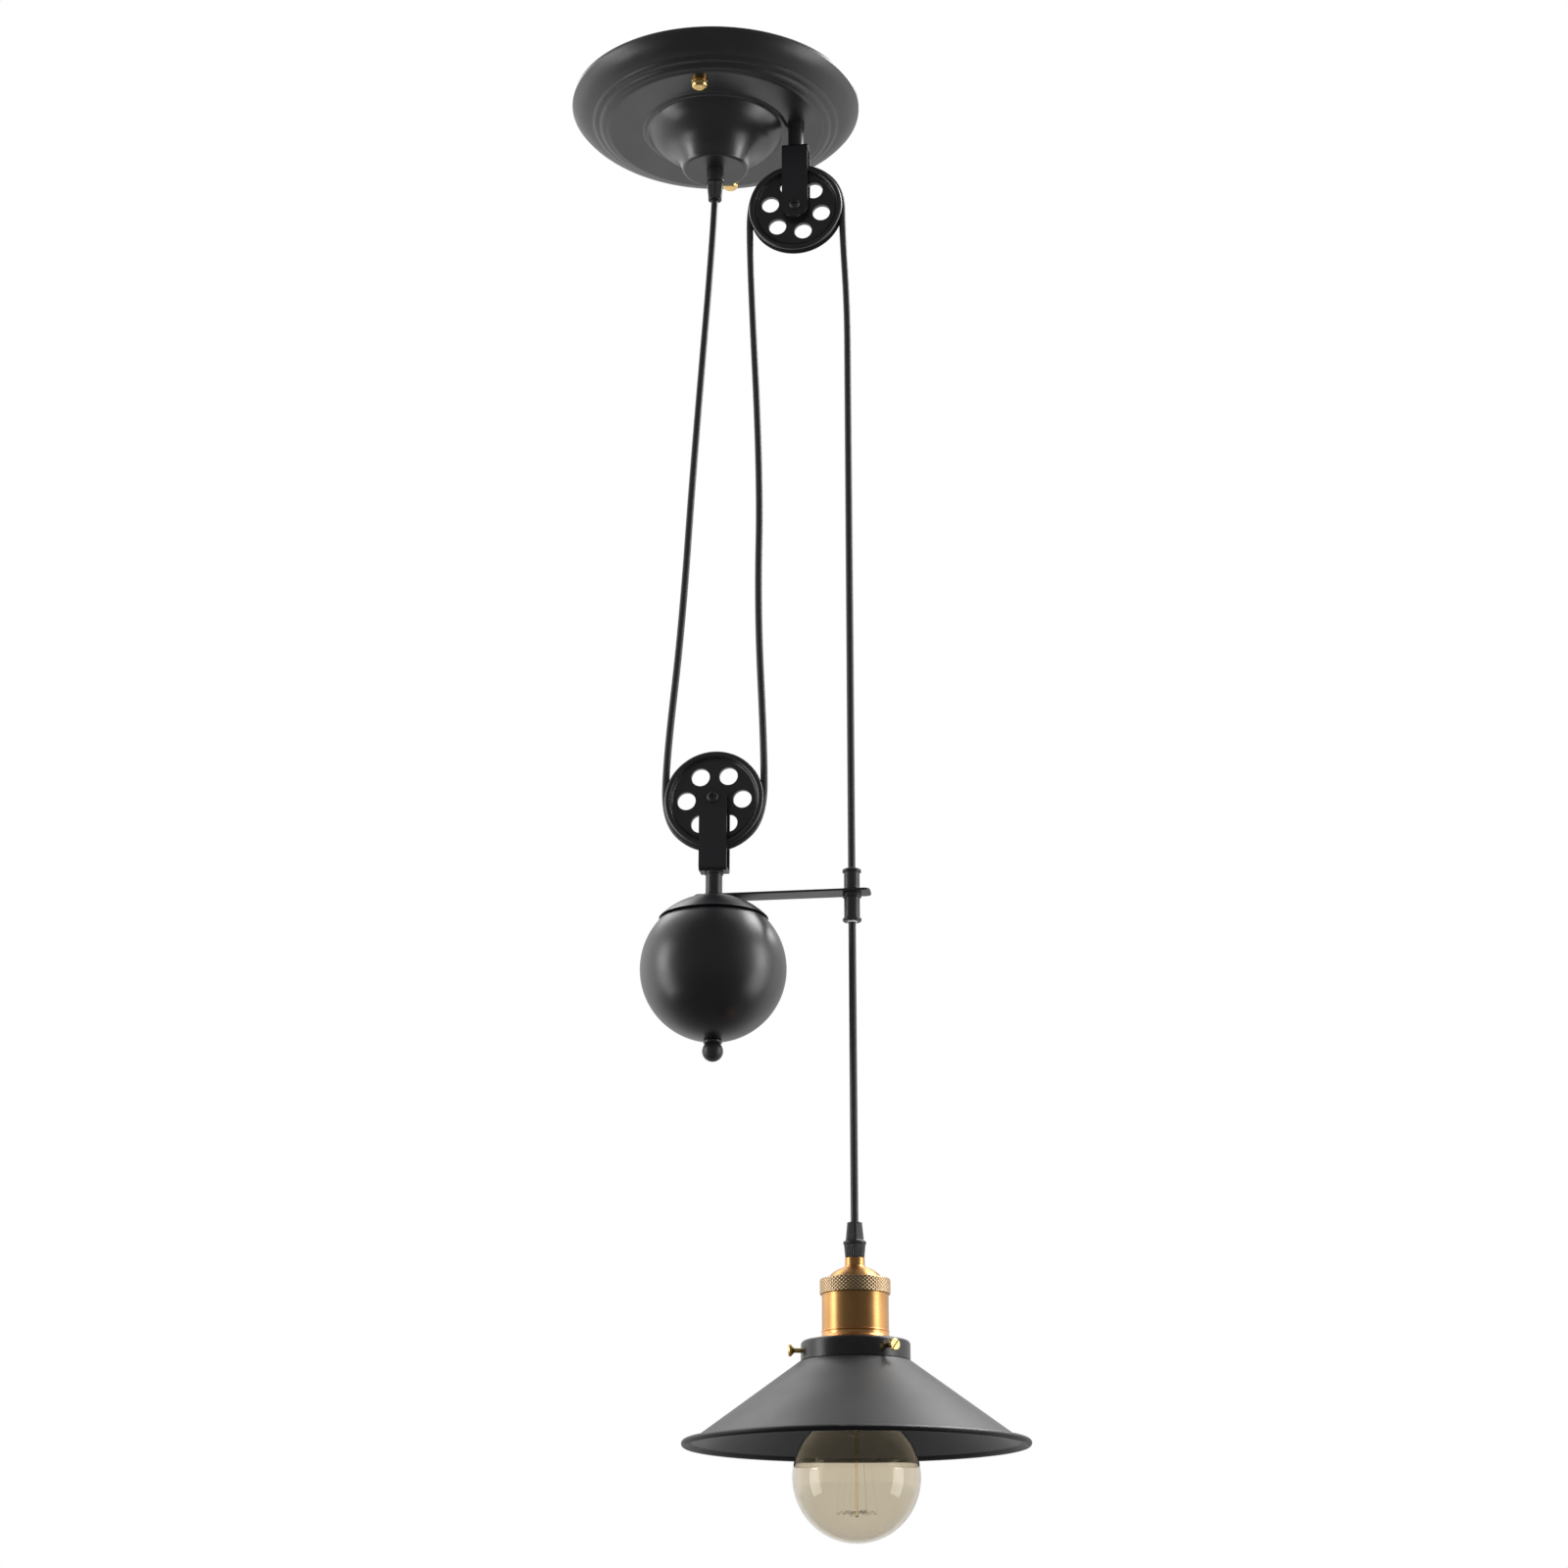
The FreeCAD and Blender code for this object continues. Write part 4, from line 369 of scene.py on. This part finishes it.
def brushed_round(name, color, roughness):
    """Metal brushed round a vertical axis: fine level scratches, and streaks of light to match."""
    b = MaterialNodes(name)
    lines = b.noise(scale=1.0, detail=3, roughness=0.7, stretch=(30, 30, 9000))
    around = b.node("ShaderNodeTangent", direction_type="RADIAL", axis="Z")
    return b.finish(
        metallic=1.0,
        anisotropic=0.75,
        rotation=0.25,
        tangent=around.outputs["Tangent"],
        color=b.clouded(color, spread=0.14, noise=b.noise(scale=35, detail=4)),
        roughness=b.uneven(roughness, less=0.05, more=0.06, noise=lines),
        normal=b.bump(lines, strength=0.07, height=0.06 * MM),
    )


def plastic(name, color, roughness):
    """Moulded plastic or glazed ceramic."""
    b = MaterialNodes(name)
    return b.finish(
        color=b.clouded(color, spread=0.2, noise=b.noise(scale=90, detail=4)),
        roughness=b.uneven(roughness, less=0.05, more=0.06, noise=b.noise(scale=160, detail=3)),
        normal=b.bump(b.noise(scale=1800, detail=2), strength=0.06, height=0.1 * MM),
    )


def glass(name, color, roughness=0.0):
    """Blown glass, clear and very faintly wavy."""
    b = MaterialNodes(name)
    return b.finish(
        color=color,
        transmission=1.0,
        roughness=roughness,
        ior=GLASS_IOR,
        normal=b.bump(b.noise(scale=16, detail=2), strength=0.03, height=0.6 * MM),
    )


def cord_sheath(name, darker, lighter):
    """Smooth sheath with a faint satin grain and a little dust."""
    b = MaterialNodes(name)
    return b.finish(
        color=b.ramp(b.noise(scale=120, detail=5), [(0.3, darker), (0.75, lighter)]),
        roughness=b.uneven(0.40, less=0.02, more=0.02, noise=b.noise(scale=220, detail=3)),
        normal=b.bump(b.noise(scale=900, detail=3), strength=0.03, height=0.1 * MM),
    )


MATERIALS = {
    "cover": black_paint("cover_coat", (0.009, 0.009, 0.010), roughness=0.31, gloss=0.9),
    "bracket": black_paint("bracket_coat", (0.011, 0.011, 0.013), roughness=0.34),
    "pulley": black_paint("pulley_enamel", (0.007, 0.007, 0.008), roughness=0.28, gloss=0.9),
    "weight": black_paint("weight_coat", (0.006, 0.006, 0.008), roughness=0.32, gloss=0.8),
    "shade": paint_with_painted_rim_shade(
        "shade_coat", (0.018, 0.018, 0.019), roughness=0.44, gloss=1.0, rim_share=0.045
    ),
    "carrier": black_paint("carrier_coat", (0.008, 0.008, 0.009), roughness=0.27),
    "zinc": plain_metal("zinc_plate", (0.62, 0.64, 0.66), roughness=0.34),
    "black_steel": black_paint("black_steel", (0.014, 0.014, 0.015), roughness=0.36),
    "brass": plain_metal("polished_brass", (0.86, 0.60, 0.24), roughness=0.20, spread=0.08),
    "holder": brushed_round("brushed_holder", (0.62, 0.33, 0.12), roughness=0.36),
    "knurl": knurled_metal("aged_knurl", (0.72, 0.52, 0.31), roughness=0.34),
    "skirt": brushed_round("copper_skirt", (0.82, 0.41, 0.15), roughness=0.28),
    "plastic": plastic("black_plastic", (0.016, 0.016, 0.017), roughness=0.40),
    "white_plastic": plastic("white_plastic", (0.80, 0.80, 0.77), roughness=0.42),
    "ceramic": plastic("glazed_ceramic", (0.80, 0.79, 0.75), roughness=0.22),
    "nickel": plain_metal("nickel_cap", (0.74, 0.73, 0.70), roughness=0.22),
    "iron": plain_metal("cast_slug", (0.10, 0.10, 0.10), roughness=0.65, spread=0.25, grain=0.4),
    "wire": plain_metal("fine_wire", (0.16, 0.14, 0.12), roughness=0.40),
    "cord": cord_sheath("cord_sheath", (0.014, 0.014, 0.015), (0.018, 0.018, 0.019)),
    "bulb": glass("bulb_glass", (0.74, 0.69, 0.59)),
    "stem": glass("stem_glass", (0.93, 0.86, 0.68), roughness=0.05),
}

NODES_BY_MATERIAL = {
    "cover": ["canopy"],
    "bracket": ["upper_bracket", "lower_bracket", "guide_arm"],
    "pulley": ["upper_pulley", "lower_pulley"],
    "weight": ["weight_cap", "weight_shell"],
    "shade": ["shade"],
    "carrier": ["gallery"],
    "zinc": [
        "mounting_strap",
        "strap_studs",
        "stud_lock_nuts",
        "upper_bolt",
        "upper_bolt_nut",
        "weight_rod",
        "weight_rod_nuts",
    ],
    "black_steel": [
        "upper_stem",
        "upper_axle_screw",
        "upper_axle_nut",
        "lower_axle_screw",
        "lower_axle_nut",
        "weight_stem",
        "ferrule_upper",
        "ferrule_lower",
        "finial",
    ],
    "brass": [
        "cap_nuts",
        "earth_screw",
        "terminal_screws",
        "upper_axle_sleeve",
        "lower_axle_sleeve",
        "socket_thread",
        "contact_strip",
        "thumb_screw_front",
        "thumb_screw_left",
        "thumb_screw_rear",
    ],
    "holder": ["holder_cap", "holder_body"],
    "knurl": ["holder_ring", "gallery_nut"],
    "skirt": ["holder_skirt"],
    "plastic": [
        "rose_grip_body",
        "rose_grip_nut",
        "rose_grip_lock_nut",
        "lamp_grip_nut",
        "lamp_grip_body",
    ],
    "white_plastic": ["terminal_block", "ferrule_liner"],
    "ceramic": ["socket_insert"],
    "nickel": ["bulb_cap"],
    "iron": ["weight_ballast"],
    "wire": ["filament"],
    "cord": [
        "cord_tail",
        "cord_leg_down",
        "cord_lower_bight",
        "cord_leg_up",
        "cord_upper_bight",
        "cord_drop",
    ],
    "bulb": ["bulb_glass"],
    "stem": ["bulb_stem"],
}


def dress(obj, name):
    obj.data.materials.clear()
    obj.data.materials.append(MATERIALS[name])


def dress_nodes():
    for name, node_names in NODES_BY_MATERIAL.items():
        for node_name in node_names:
            for slot in nodes[node_name].material_slots:
                slot.material = MATERIALS[name]


# ------------------------------------------------------------------ cord
CORD_D = 0.005
CORD_SIDES = 20
CORD_STEP = 0.0022  # from one ring of the tube to the next
SPLINE_STEPS = 24
# The route's points (x, z): out of the cover's grip, under the weight's pulley and up to the top
# of the fixed pulley; then down from there, through the guide, into the lamp's grip.
LOOP_ROUTE = [
    (0.0, -0.066),
    (0.0, -0.092),
    (-0.0135, -0.285),
    (-0.0205, -0.412),
    (-0.0305, -0.512),
    (-0.0305, -0.5551),
    (-0.0106, -0.575),
    (0.0176, -0.575),
    (0.0375, -0.5551),
    (0.0375, -0.506),
    (0.0325, -0.402),
    (0.0344, -0.302),
    (0.026, -0.128),
    (0.026, -0.0759),
    (0.0459, -0.056),
    (0.060, -0.056),
]
DROP_ROUTE = [
    (0.060, -0.056),
    (0.0741, -0.056),
    (0.094, -0.0759),
    (0.094, -0.112),
    (0.097, -0.172),
    (0.097, -0.232),
    (0.097, -0.863),
]


def spline_points(route):
    """Points along the smooth curve that has the route for its control points."""
    data = bpy.data.curves.new("route", "CURVE")
    data.dimensions = "3D"
    data.resolution_u = SPLINE_STEPS
    line = data.splines.new("NURBS")
    line.points.add(len(route) - 1)
    for point, (x, z) in zip(line.points, route):
        point.co = (x, 0, z, 1)
    line.order_u = 3
    line.use_endpoint_u = True
    obj = add_object("route", data)
    bpy.context.view_layer.update()
    mesh = bpy.data.meshes.new_from_object(obj)
    points = [vertex.co.copy() for vertex in mesh.vertices]
    bpy.data.objects.remove(obj)
    bpy.data.curves.remove(data)
    bpy.data.meshes.remove(mesh)
    return points


def even_points(points, gap):
    """The same line with points at an even spacing of about the gap."""
    marks = [0.0]
    for here, there in zip(points, points[1:]):
        marks.append(marks[-1] + (there - here).length)
    count = round(marks[-1] / gap)
    made = []
    index = 0
    for step in range(count + 1):
        want = marks[-1] * step / count
        while index < len(marks) - 2 and marks[index + 1] < want:
            index += 1
        span = marks[index + 1] - marks[index]
        made.append(points[index].lerp(points[index + 1], (want - marks[index]) / span))
    return made


def cord_line(route):
    return even_points(spline_points(route), CORD_STEP)


def cord_tube(name, line):
    tube = mesh_object(name, *tube_parts(line, CORD_D / 2, CORD_SIDES, Vector((0, 1, 0))))
    dress(tube, "cord")
    return tube


def make_cord():
    loop_line = cord_line(LOOP_ROUTE)
    loop = cord_tube("flex_loop", loop_line)
    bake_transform(loop)
    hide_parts("cord_leg_down", "cord_lower_bight", "cord_leg_up", "cord_upper_bight")
    drop_line = cord_line(DROP_ROUTE)
    drop = cord_tube("flex_drop", drop_line)
    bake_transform(drop)
    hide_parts("cord_drop")


# ------------------------------------------------------------------ fine trim
EDGE = 0.3 * MM  # a broken edge
FACETS = 8  # of a ring for each of its knurls or ribs


def stand_in(piece, body, node, material):
    """The piece rides on the body in the place of the CAD node."""
    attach(piece, body)
    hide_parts(node)
    dress(piece, material)


KNURLS = 50  # round the ring
KNURL_CYCLES = 3.5  # up the band
KNURL_DEPTH = 0.45 * MM
KNURL_POWER = 2.2  # broad diamonds between narrow grooves
KNURL_ROWS = 36
RING_WALL = 1.25 * MM
RING_MARGIN = 0.9 * MM  # above and below the band
# Both of the ring's rounded edges: inward from the tips, and in from the ring's end.
RING_EDGE = [(0.8 * MM, 0.0), (0.25 * MM, 0.25 * MM), (0.15 * MM, 0.7 * MM)]
LIP_WIDTH, LIP_THICK = 5.9 * MM, 1.0 * MM  # the top, which reaches inward


def knurled_ring():
    """The lampholder's ring with its diamond knurl cut into the rim."""
    low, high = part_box("holder_ring")
    foot, top = low[2], high[2]
    band_foot, band_top = foot + RING_MARGIN, top - RING_MARGIN
    bore, lip = KNURL_TIP - RING_WALL, KNURL_TIP - LIP_WIDTH
    profile = [(bore, foot + EDGE)]
    profile += [(KNURL_TIP - inward, foot + rise) for inward, rise in RING_EDGE]
    first = len(profile)
    for row in range(KNURL_ROWS + 1):
        profile.append((KNURL_TIP, band_foot + (band_top - band_foot) * row / KNURL_ROWS))
    last = len(profile) - 1
    profile += [(KNURL_TIP - inward, top - drop) for inward, drop in reversed(RING_EDGE)]
    profile += [(lip, top), (lip, top - LIP_THICK), (bore, top - LIP_THICK)]

    def cut(angle, radius, z, index):
        if not first <= index <= last:
            return radius
        along = (z - band_foot) / (band_top - band_foot) * KNURL_CYCLES
        turn = angle / FULL_TURN * KNURLS
        left = abs((turn + along) % 1.0 - 0.5) * 2
        right = abs((turn - along) % 1.0 - 0.5) * 2
        return radius - KNURL_DEPTH * max(left, right) ** KNURL_POWER

    ring = ring_mesh("knurled_ring", profile, KNURLS * FACETS, LAMP_AXIS, cut)
    stand_in(ring, "lamp", "holder_ring", "knurl")


SKIRT_R = 24.0 * MM
SKIRT_WALL = 1.6 * MM
SKIRT_BAND = 1.3 * MM  # height of the upright edge
FLARE_IN, FLARE_LIFT = 0.5 * MM, 0.2 * MM  # from the edge to the foot of the flare
FLARE_DROP = 1.1 * MM  # from the top to the head of the flare
FLARE_STEPS = 8
# The bead at the head of the flare: outward from the body, and down from the skirt's top.
SKIRT_BEAD = [(0.35 * MM, 0.9 * MM), (0.45 * MM, 0.5 * MM), (0.25 * MM, 0.1 * MM), (0.0, 0.0)]
SKIRT_SIDES = 160


def flared_skirt():
    """Copper ring below the body: a small bead, a hollow flare and an upright edge."""
    low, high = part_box("holder_skirt")
    foot, top = low[2], high[2]
    body = half_width("holder_body")
    bore = body - SKIRT_WALL
    edge_top = foot + SKIRT_BAND
    flare_foot, flare_top = edge_top + FLARE_LIFT, top - FLARE_DROP
    profile = [(bore, foot), (SKIRT_R - EDGE, foot), (SKIRT_R, foot + EDGE), (SKIRT_R, edge_top)]
    profile.append((SKIRT_R - EDGE, flare_foot))
    for step in range(1, FLARE_STEPS + 1):
        turn = FULL_TURN / 4 * step / FLARE_STEPS
        out = (SKIRT_R - FLARE_IN - body) * (1 - math.sin(turn))
        profile.append((body + out, flare_foot + (flare_top - flare_foot) * (1 - math.cos(turn))))
    profile += [(body + out, top - drop) for out, drop in SKIRT_BEAD]
    profile.append((bore, top))
    skirt = ring_mesh("flared_skirt", profile, SKIRT_SIDES, LAMP_AXIS)
    stand_in(skirt, "lamp", "holder_skirt", "skirt")


GRIP_BORE, GRIP_THREAD = 2.8 * MM, 5.0 * MM  # radii
NUT_WIDE, NUT_NARROW = 6.35 * MM, 5.15 * MM  # radii over the corners at both ends of the taper
NUT_COLLAR = 1.8 * MM
NUT_ROUND = 0.7 * MM  # at the mouth
NUT_ROUND_MIDDLE = (0.2 * MM, 0.25 * MM)  # inward from the taper, and short of the mouth
NUT_ROWS = 7
NUT_SIDES = 120
NUT_FLATS = 6
FLATS_TURN = math.radians(20)
FLATS_BULGE = 0.055  # how soft the corners are, as a share of the radius
LAMP_FLANGE_R = 7.4 * MM


def grip_nut(node, body, axis, flange_r=None):
    """Tapered clamping nut: six soft flats that run to a round mouth, from a collar or flange.

    The nut with a flange has its mouth at the top, and the other one at the bottom.
    """
    low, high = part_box(node)
    up = 1 if flange_r else -1
    foot, mouth = (low[2], high[2]) if flange_r else (high[2], low[2])
    shoulder = foot + up * NUT_COLLAR
    profile = [(GRIP_BORE, foot)]
    if flange_r:
        profile += [(flange_r - EDGE, foot), (flange_r, foot + EDGE)]
        profile += [(flange_r, shoulder - EDGE), (flange_r - EDGE, shoulder)]
    else:
        profile += [(NUT_WIDE, foot), (NUT_WIDE, shoulder)]
    first = len(profile)
    length = mouth - up * NUT_ROUND - shoulder
    for row in range(NUT_ROWS + 1):
        share = row / NUT_ROWS
        profile.append((NUT_WIDE + (NUT_NARROW - NUT_WIDE) * share, shoulder + length * share))
    last = len(profile) - 1
    inward, short = NUT_ROUND_MIDDLE
    profile += [(NUT_NARROW - inward, mouth - up * short), (NUT_NARROW - NUT_ROUND, mouth)]
    profile.append((GRIP_BORE, mouth))

    def flats(angle, radius, z, index):
        if not first <= index <= last:
            return radius
        sector = FULL_TURN / NUT_FLATS
        off = (angle + FLATS_TURN) % sector - sector / 2
        flat = radius * math.cos(sector / 2) / math.cos(off)
        return min(radius, flat + FLATS_BULGE * radius)

    nut = ring_mesh(node + "_shaped", profile, NUT_SIDES, axis, flats)
    stand_in(nut, body, node, "plastic")


COLLAR_TOP_R, COLLAR_FOOT_R = 6.95 * MM, 6.1 * MM
RIBS = 30
RIB_DEPTH = 0.32 * MM
RIB_POWER = 0.6  # narrow ribs between broad hollows
RIB_ROWS = 6
RIB_MARGIN = 0.2  # of a row, at either end of the ribs


def ribbed_body():
    """The lamp's grip: a threaded shank below a visible collar that carries fine upright ribs."""
    shank_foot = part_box("lamp_grip_body")[0][2]
    foot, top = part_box("holder_cap")[1][2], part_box("lamp_grip_nut")[0][2]
    profile = [(GRIP_BORE, shank_foot), (GRIP_THREAD, shank_foot), (GRIP_THREAD, foot)]
    profile.append((COLLAR_FOOT_R - EDGE, foot))
    first = len(profile)
    for row in range(RIB_ROWS + 1):
        share = (row + RIB_MARGIN) / (RIB_ROWS + 2 * RIB_MARGIN)
        radius = COLLAR_FOOT_R + (COLLAR_TOP_R - COLLAR_FOOT_R) * share
        profile.append((radius, foot + (top - foot) * share))
    last = len(profile) - 1
    profile += [(COLLAR_TOP_R - EDGE, top), (GRIP_BORE, top)]

    def rib(angle, radius, z, index):
        if not first <= index <= last:
            return radius
        return radius - RIB_DEPTH * (0.5 + 0.5 * math.cos(angle * RIBS)) ** RIB_POWER

    piece = ring_mesh("lamp_grip_body_shaped", profile, RIBS * FACETS, LAMP_AXIS, rib)
    stand_in(piece, "lamp", "lamp_grip_body", "plastic")


WIRE_R, THIN_SHARE = 0.13 * MM, 0.22  # the long thin wires are that share of the arms' radius
WIRE_SIDES, THIN_SIDES = 8, 6
THIN_STEPS = 10
ROD_R = 1.1 * MM  # of the glass rod that carries both stars
UPPER_STAR_R, LOWER_STAR_R = 7.5 * MM, 12.6 * MM
CAGE_MARGIN = 0.3 * MM
UPPER_DROP, UPPER_TIP_DROP, LOWER_RISE = 1.2 * MM, 1.0 * MM, 0.6 * MM
UPPER_WAVES, UPPER_SWING = 1, 0.5 * MM
LOWER_WAVES, LOWER_SWING = 3, 1.1 * MM
WAVE_STEPS = 8
WAVE_ONSET = 1 / 3  # share of an arm over which its swing grows
ARM_STRAYS = [0.0, 0.35, -0.25, 0.15, -0.4, 0.3]  # one for each arm: how far it is out of true
STRAY_TURN = 0.3  # share of the stray that turns the arm


def wavy_arm(start, end, waves, swing):
    """Points from start to end that swing up and down on the way."""
    steps = waves * WAVE_STEPS
    made = []
    for step in range(steps + 1):
        share = step / steps
        lift = math.sin(share * waves * FULL_TURN) * swing * min(1, share / WAVE_ONSET)
        made.append(start.lerp(end, share) + UP * lift)
    return made


def filament_cage():
    """Fine filament wires from a small upper star to a wide, wavy lower star on the glass rod."""
    low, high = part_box("filament")
    foot, top = low[2] + CAGE_MARGIN, high[2] - CAGE_MARGIN
    middle = Vector((LAMP_X, 0, 0))
    parts = []
    for index, stray in enumerate(ARM_STRAYS):
        turn = FULL_TURN * (index + stray * STRAY_TURN) / len(ARM_STRAYS)
        out = Vector((math.cos(turn), math.sin(turn), 0))
        across = Vector((-out.y, out.x, 0))
        inner_foot = middle + out * ROD_R + UP * (foot + LOWER_RISE)
        outer_foot = middle + out * LOWER_STAR_R + UP * (foot + stray * MM)
        inner_top = middle + out * ROD_R + UP * (top - UPPER_DROP)
        outer_top = middle + out * UPPER_STAR_R + UP * (top - UPPER_TIP_DROP - stray * MM)
        lower_arm = wavy_arm(inner_foot, outer_foot, LOWER_WAVES, LOWER_SWING)
        upper_arm = wavy_arm(inner_top, outer_top, UPPER_WAVES, UPPER_SWING)
        thin = [outer_top.lerp(outer_foot, step / THIN_STEPS) for step in range(THIN_STEPS + 1)]
        parts.append(tube_parts(lower_arm, WIRE_R, WIRE_SIDES, UP))
        parts.append(tube_parts(upper_arm, WIRE_R, WIRE_SIDES, UP))
        parts.append(tube_parts(thin, WIRE_R * THIN_SHARE, THIN_SIDES, across))
    cage = joined_mesh("filament_cage", parts)
    stand_in(cage, "lamp", "filament", "wire")


# ------------------------------------------------------------------ light and surroundings
WORLD_LIGHT = 0.72  # what lights the matt side of every surface
# What gloss mirrors round the lamp, by compass: share of a turn from -X through -Y, and brightness.
SURROUNDINGS = [
    (0.00, 1.20),
    (0.05, 0.80),
    (0.10, 0.32),
    (0.16, 0.16),
    (0.27, 0.13),
    (0.38, 0.16),
    (0.44, 0.32),
    (0.49, 0.80),
    (0.56, 1.45),
    (0.64, 0.90),
    (0.75, 0.60),
    (0.85, 0.90),
    (0.93, 1.45),
    (1.00, 1.20),
]
# Where gloss looks steeply upward the mirrored studio is dimmer: the Z of its direction, and the
# share of the brightness.
HIGH_FROM, HIGH_TO = 0.55, 0.98
HIGH_SHARE = 0.60


def make_world():
    """White to the camera and through glass, a plain light level, and a studio in reflections."""
    world = bpy.data.worlds.new("studio")
    world.use_nodes = True
    b = Nodes(world.node_tree, "Generated")
    seen = b.tree.nodes["Background"]
    seen.inputs["Color"].default_value = WHITE
    seen.inputs["Strength"].default_value = 1.0
    light = b.node("ShaderNodeBackground", {"Color": WHITE, "Strength": WORLD_LIGHT})
    mirrored = b.node("ShaderNodeBackground")
    compass = b.node("ShaderNodeTexGradient", gradient_type="RADIAL")
    b.link(b.coords, compass.inputs["Vector"])
    stops = [(share, (level,) * 3) for share, level in SURROUNDINGS]
    b.link(b.ramp(compass.outputs["Fac"], stops, "EASE"), mirrored.inputs["Color"])
    height = b.split(b.coords)["Z"]
    dim = b.span(height, HIGH_FROM, HIGH_TO, 1.0, HIGH_SHARE, "SMOOTHSTEP")
    b.link(dim, mirrored.inputs["Strength"])
    final = b.shown_to(seen.outputs[0], mirrored.outputs[0], light.outputs[0])
    b.link(final, b.tree.nodes["World Output"].inputs["Surface"])
    scene.world = world


FLOOR_Z, FLOOR_REACH = -1.9, 4
FLOOR_COLOR = (0.86, 0.86, 0.86)
FLOOR_ROUGHNESS = 0.9
# The mirrored floor's brightness grows with its distance behind the lamp, and to the sides less.
FLOOR_DARK, FLOOR_BRIGHT = 0.08, 0.9
FLOOR_BRIGHT_FROM = 3.0
FLOOR_SIDE_SHARE = 0.55


def make_floor():
    """White to the camera, and in reflections dark in front and bright behind."""
    signs = ((-1, -1), (1, -1), (1, 1), (-1, 1))
    corners = [(x * FLOOR_REACH, y * FLOOR_REACH, FLOOR_Z) for x, y in signs]
    floor = mesh_object("floor", corners, [(0, 1, 2, 3)])
    b = MaterialNodes("floor_white")
    floor.data.materials.append(b.finish(color=FLOOR_COLOR, roughness=FLOOR_ROUGHNESS))
    glow = b.node("ShaderNodeEmission", {"Color": WHITE})
    place = b.split(b.coords)
    aside = b.node("ShaderNodeMath", operation="ABSOLUTE")
    b.link(place["X"], aside.inputs[0])
    away = b.node("ShaderNodeMath", {1: FLOOR_SIDE_SHARE}, operation="MULTIPLY_ADD")
    b.link(aside.outputs[0], away.inputs[0])
    b.link(place["Y"], away.inputs[2])
    brightness = b.span(
        away.outputs[0], 0.0, FLOOR_BRIGHT_FROM, FLOOR_DARK, FLOOR_BRIGHT, "SMOOTHSTEP"
    )
    mirrored = b.node("ShaderNodeEmission")
    b.link(brightness, mirrored.inputs["Strength"])
    final = b.shown_to(glow.outputs[0], mirrored.outputs[0], b.shader.outputs[0])
    b.link(final, b.tree.nodes["Material Output"].inputs["Surface"])


# Each light's name, place, aim, width and height, and watts. The windows stand on both sides of
# the pendant, one above the other; the high lights are above and behind it.
LIGHTS = [
    ("left_window", (-1.69, -0.48, -0.24), (0.05, 0, -0.5), (0.50, 0.9), 6.8),
    ("right_window", (1.80, -0.08, -0.24), (0.05, 0, -0.5), (0.50, 0.9), 7.6),
    ("left_window_foot", (-1.69, -0.48, -1.24), (0.05, 0, -1.0), (0.75, 1.1), 5.5),
    ("right_window_foot", (1.80, -0.08, -1.24), (0.05, 0, -1.0), (0.75, 1.1), 5.5),
    ("high_left", (-0.95, 0.95, 0.85), (0.09, 0, -0.9), (0.9, 0.9), 6),
    ("high_right", (1.20, 0.85, 0.80), (0.09, 0, -0.9), (1.0, 1.0), 28),
]


def area_light(name, place, aim, size, power):
    data = bpy.data.lights.new(name, "AREA")
    data.shape = "RECTANGLE"
    data.size, data.size_y = size
    data.energy = power
    light = add_object(name, data)
    light.location = place
    light.rotation_euler = (Vector(aim) - Vector(place)).to_track_quat("-Z", "Y").to_euler()


# ------------------------------------------------------------------ the scene
make_camera()
dress_nodes()
make_cord()
knurled_ring()
flared_skirt()
grip_nut("lamp_grip_nut", "lamp", LAMP_AXIS, LAMP_FLANGE_R)
ribbed_body()
grip_nut("rose_grip_nut", "ceiling", COVER_AXIS)
filament_cage()
make_world()
make_floor()
for light_facts in LIGHTS:
    area_light(*light_facts)

scene.view_settings.view_transform = "Standard"
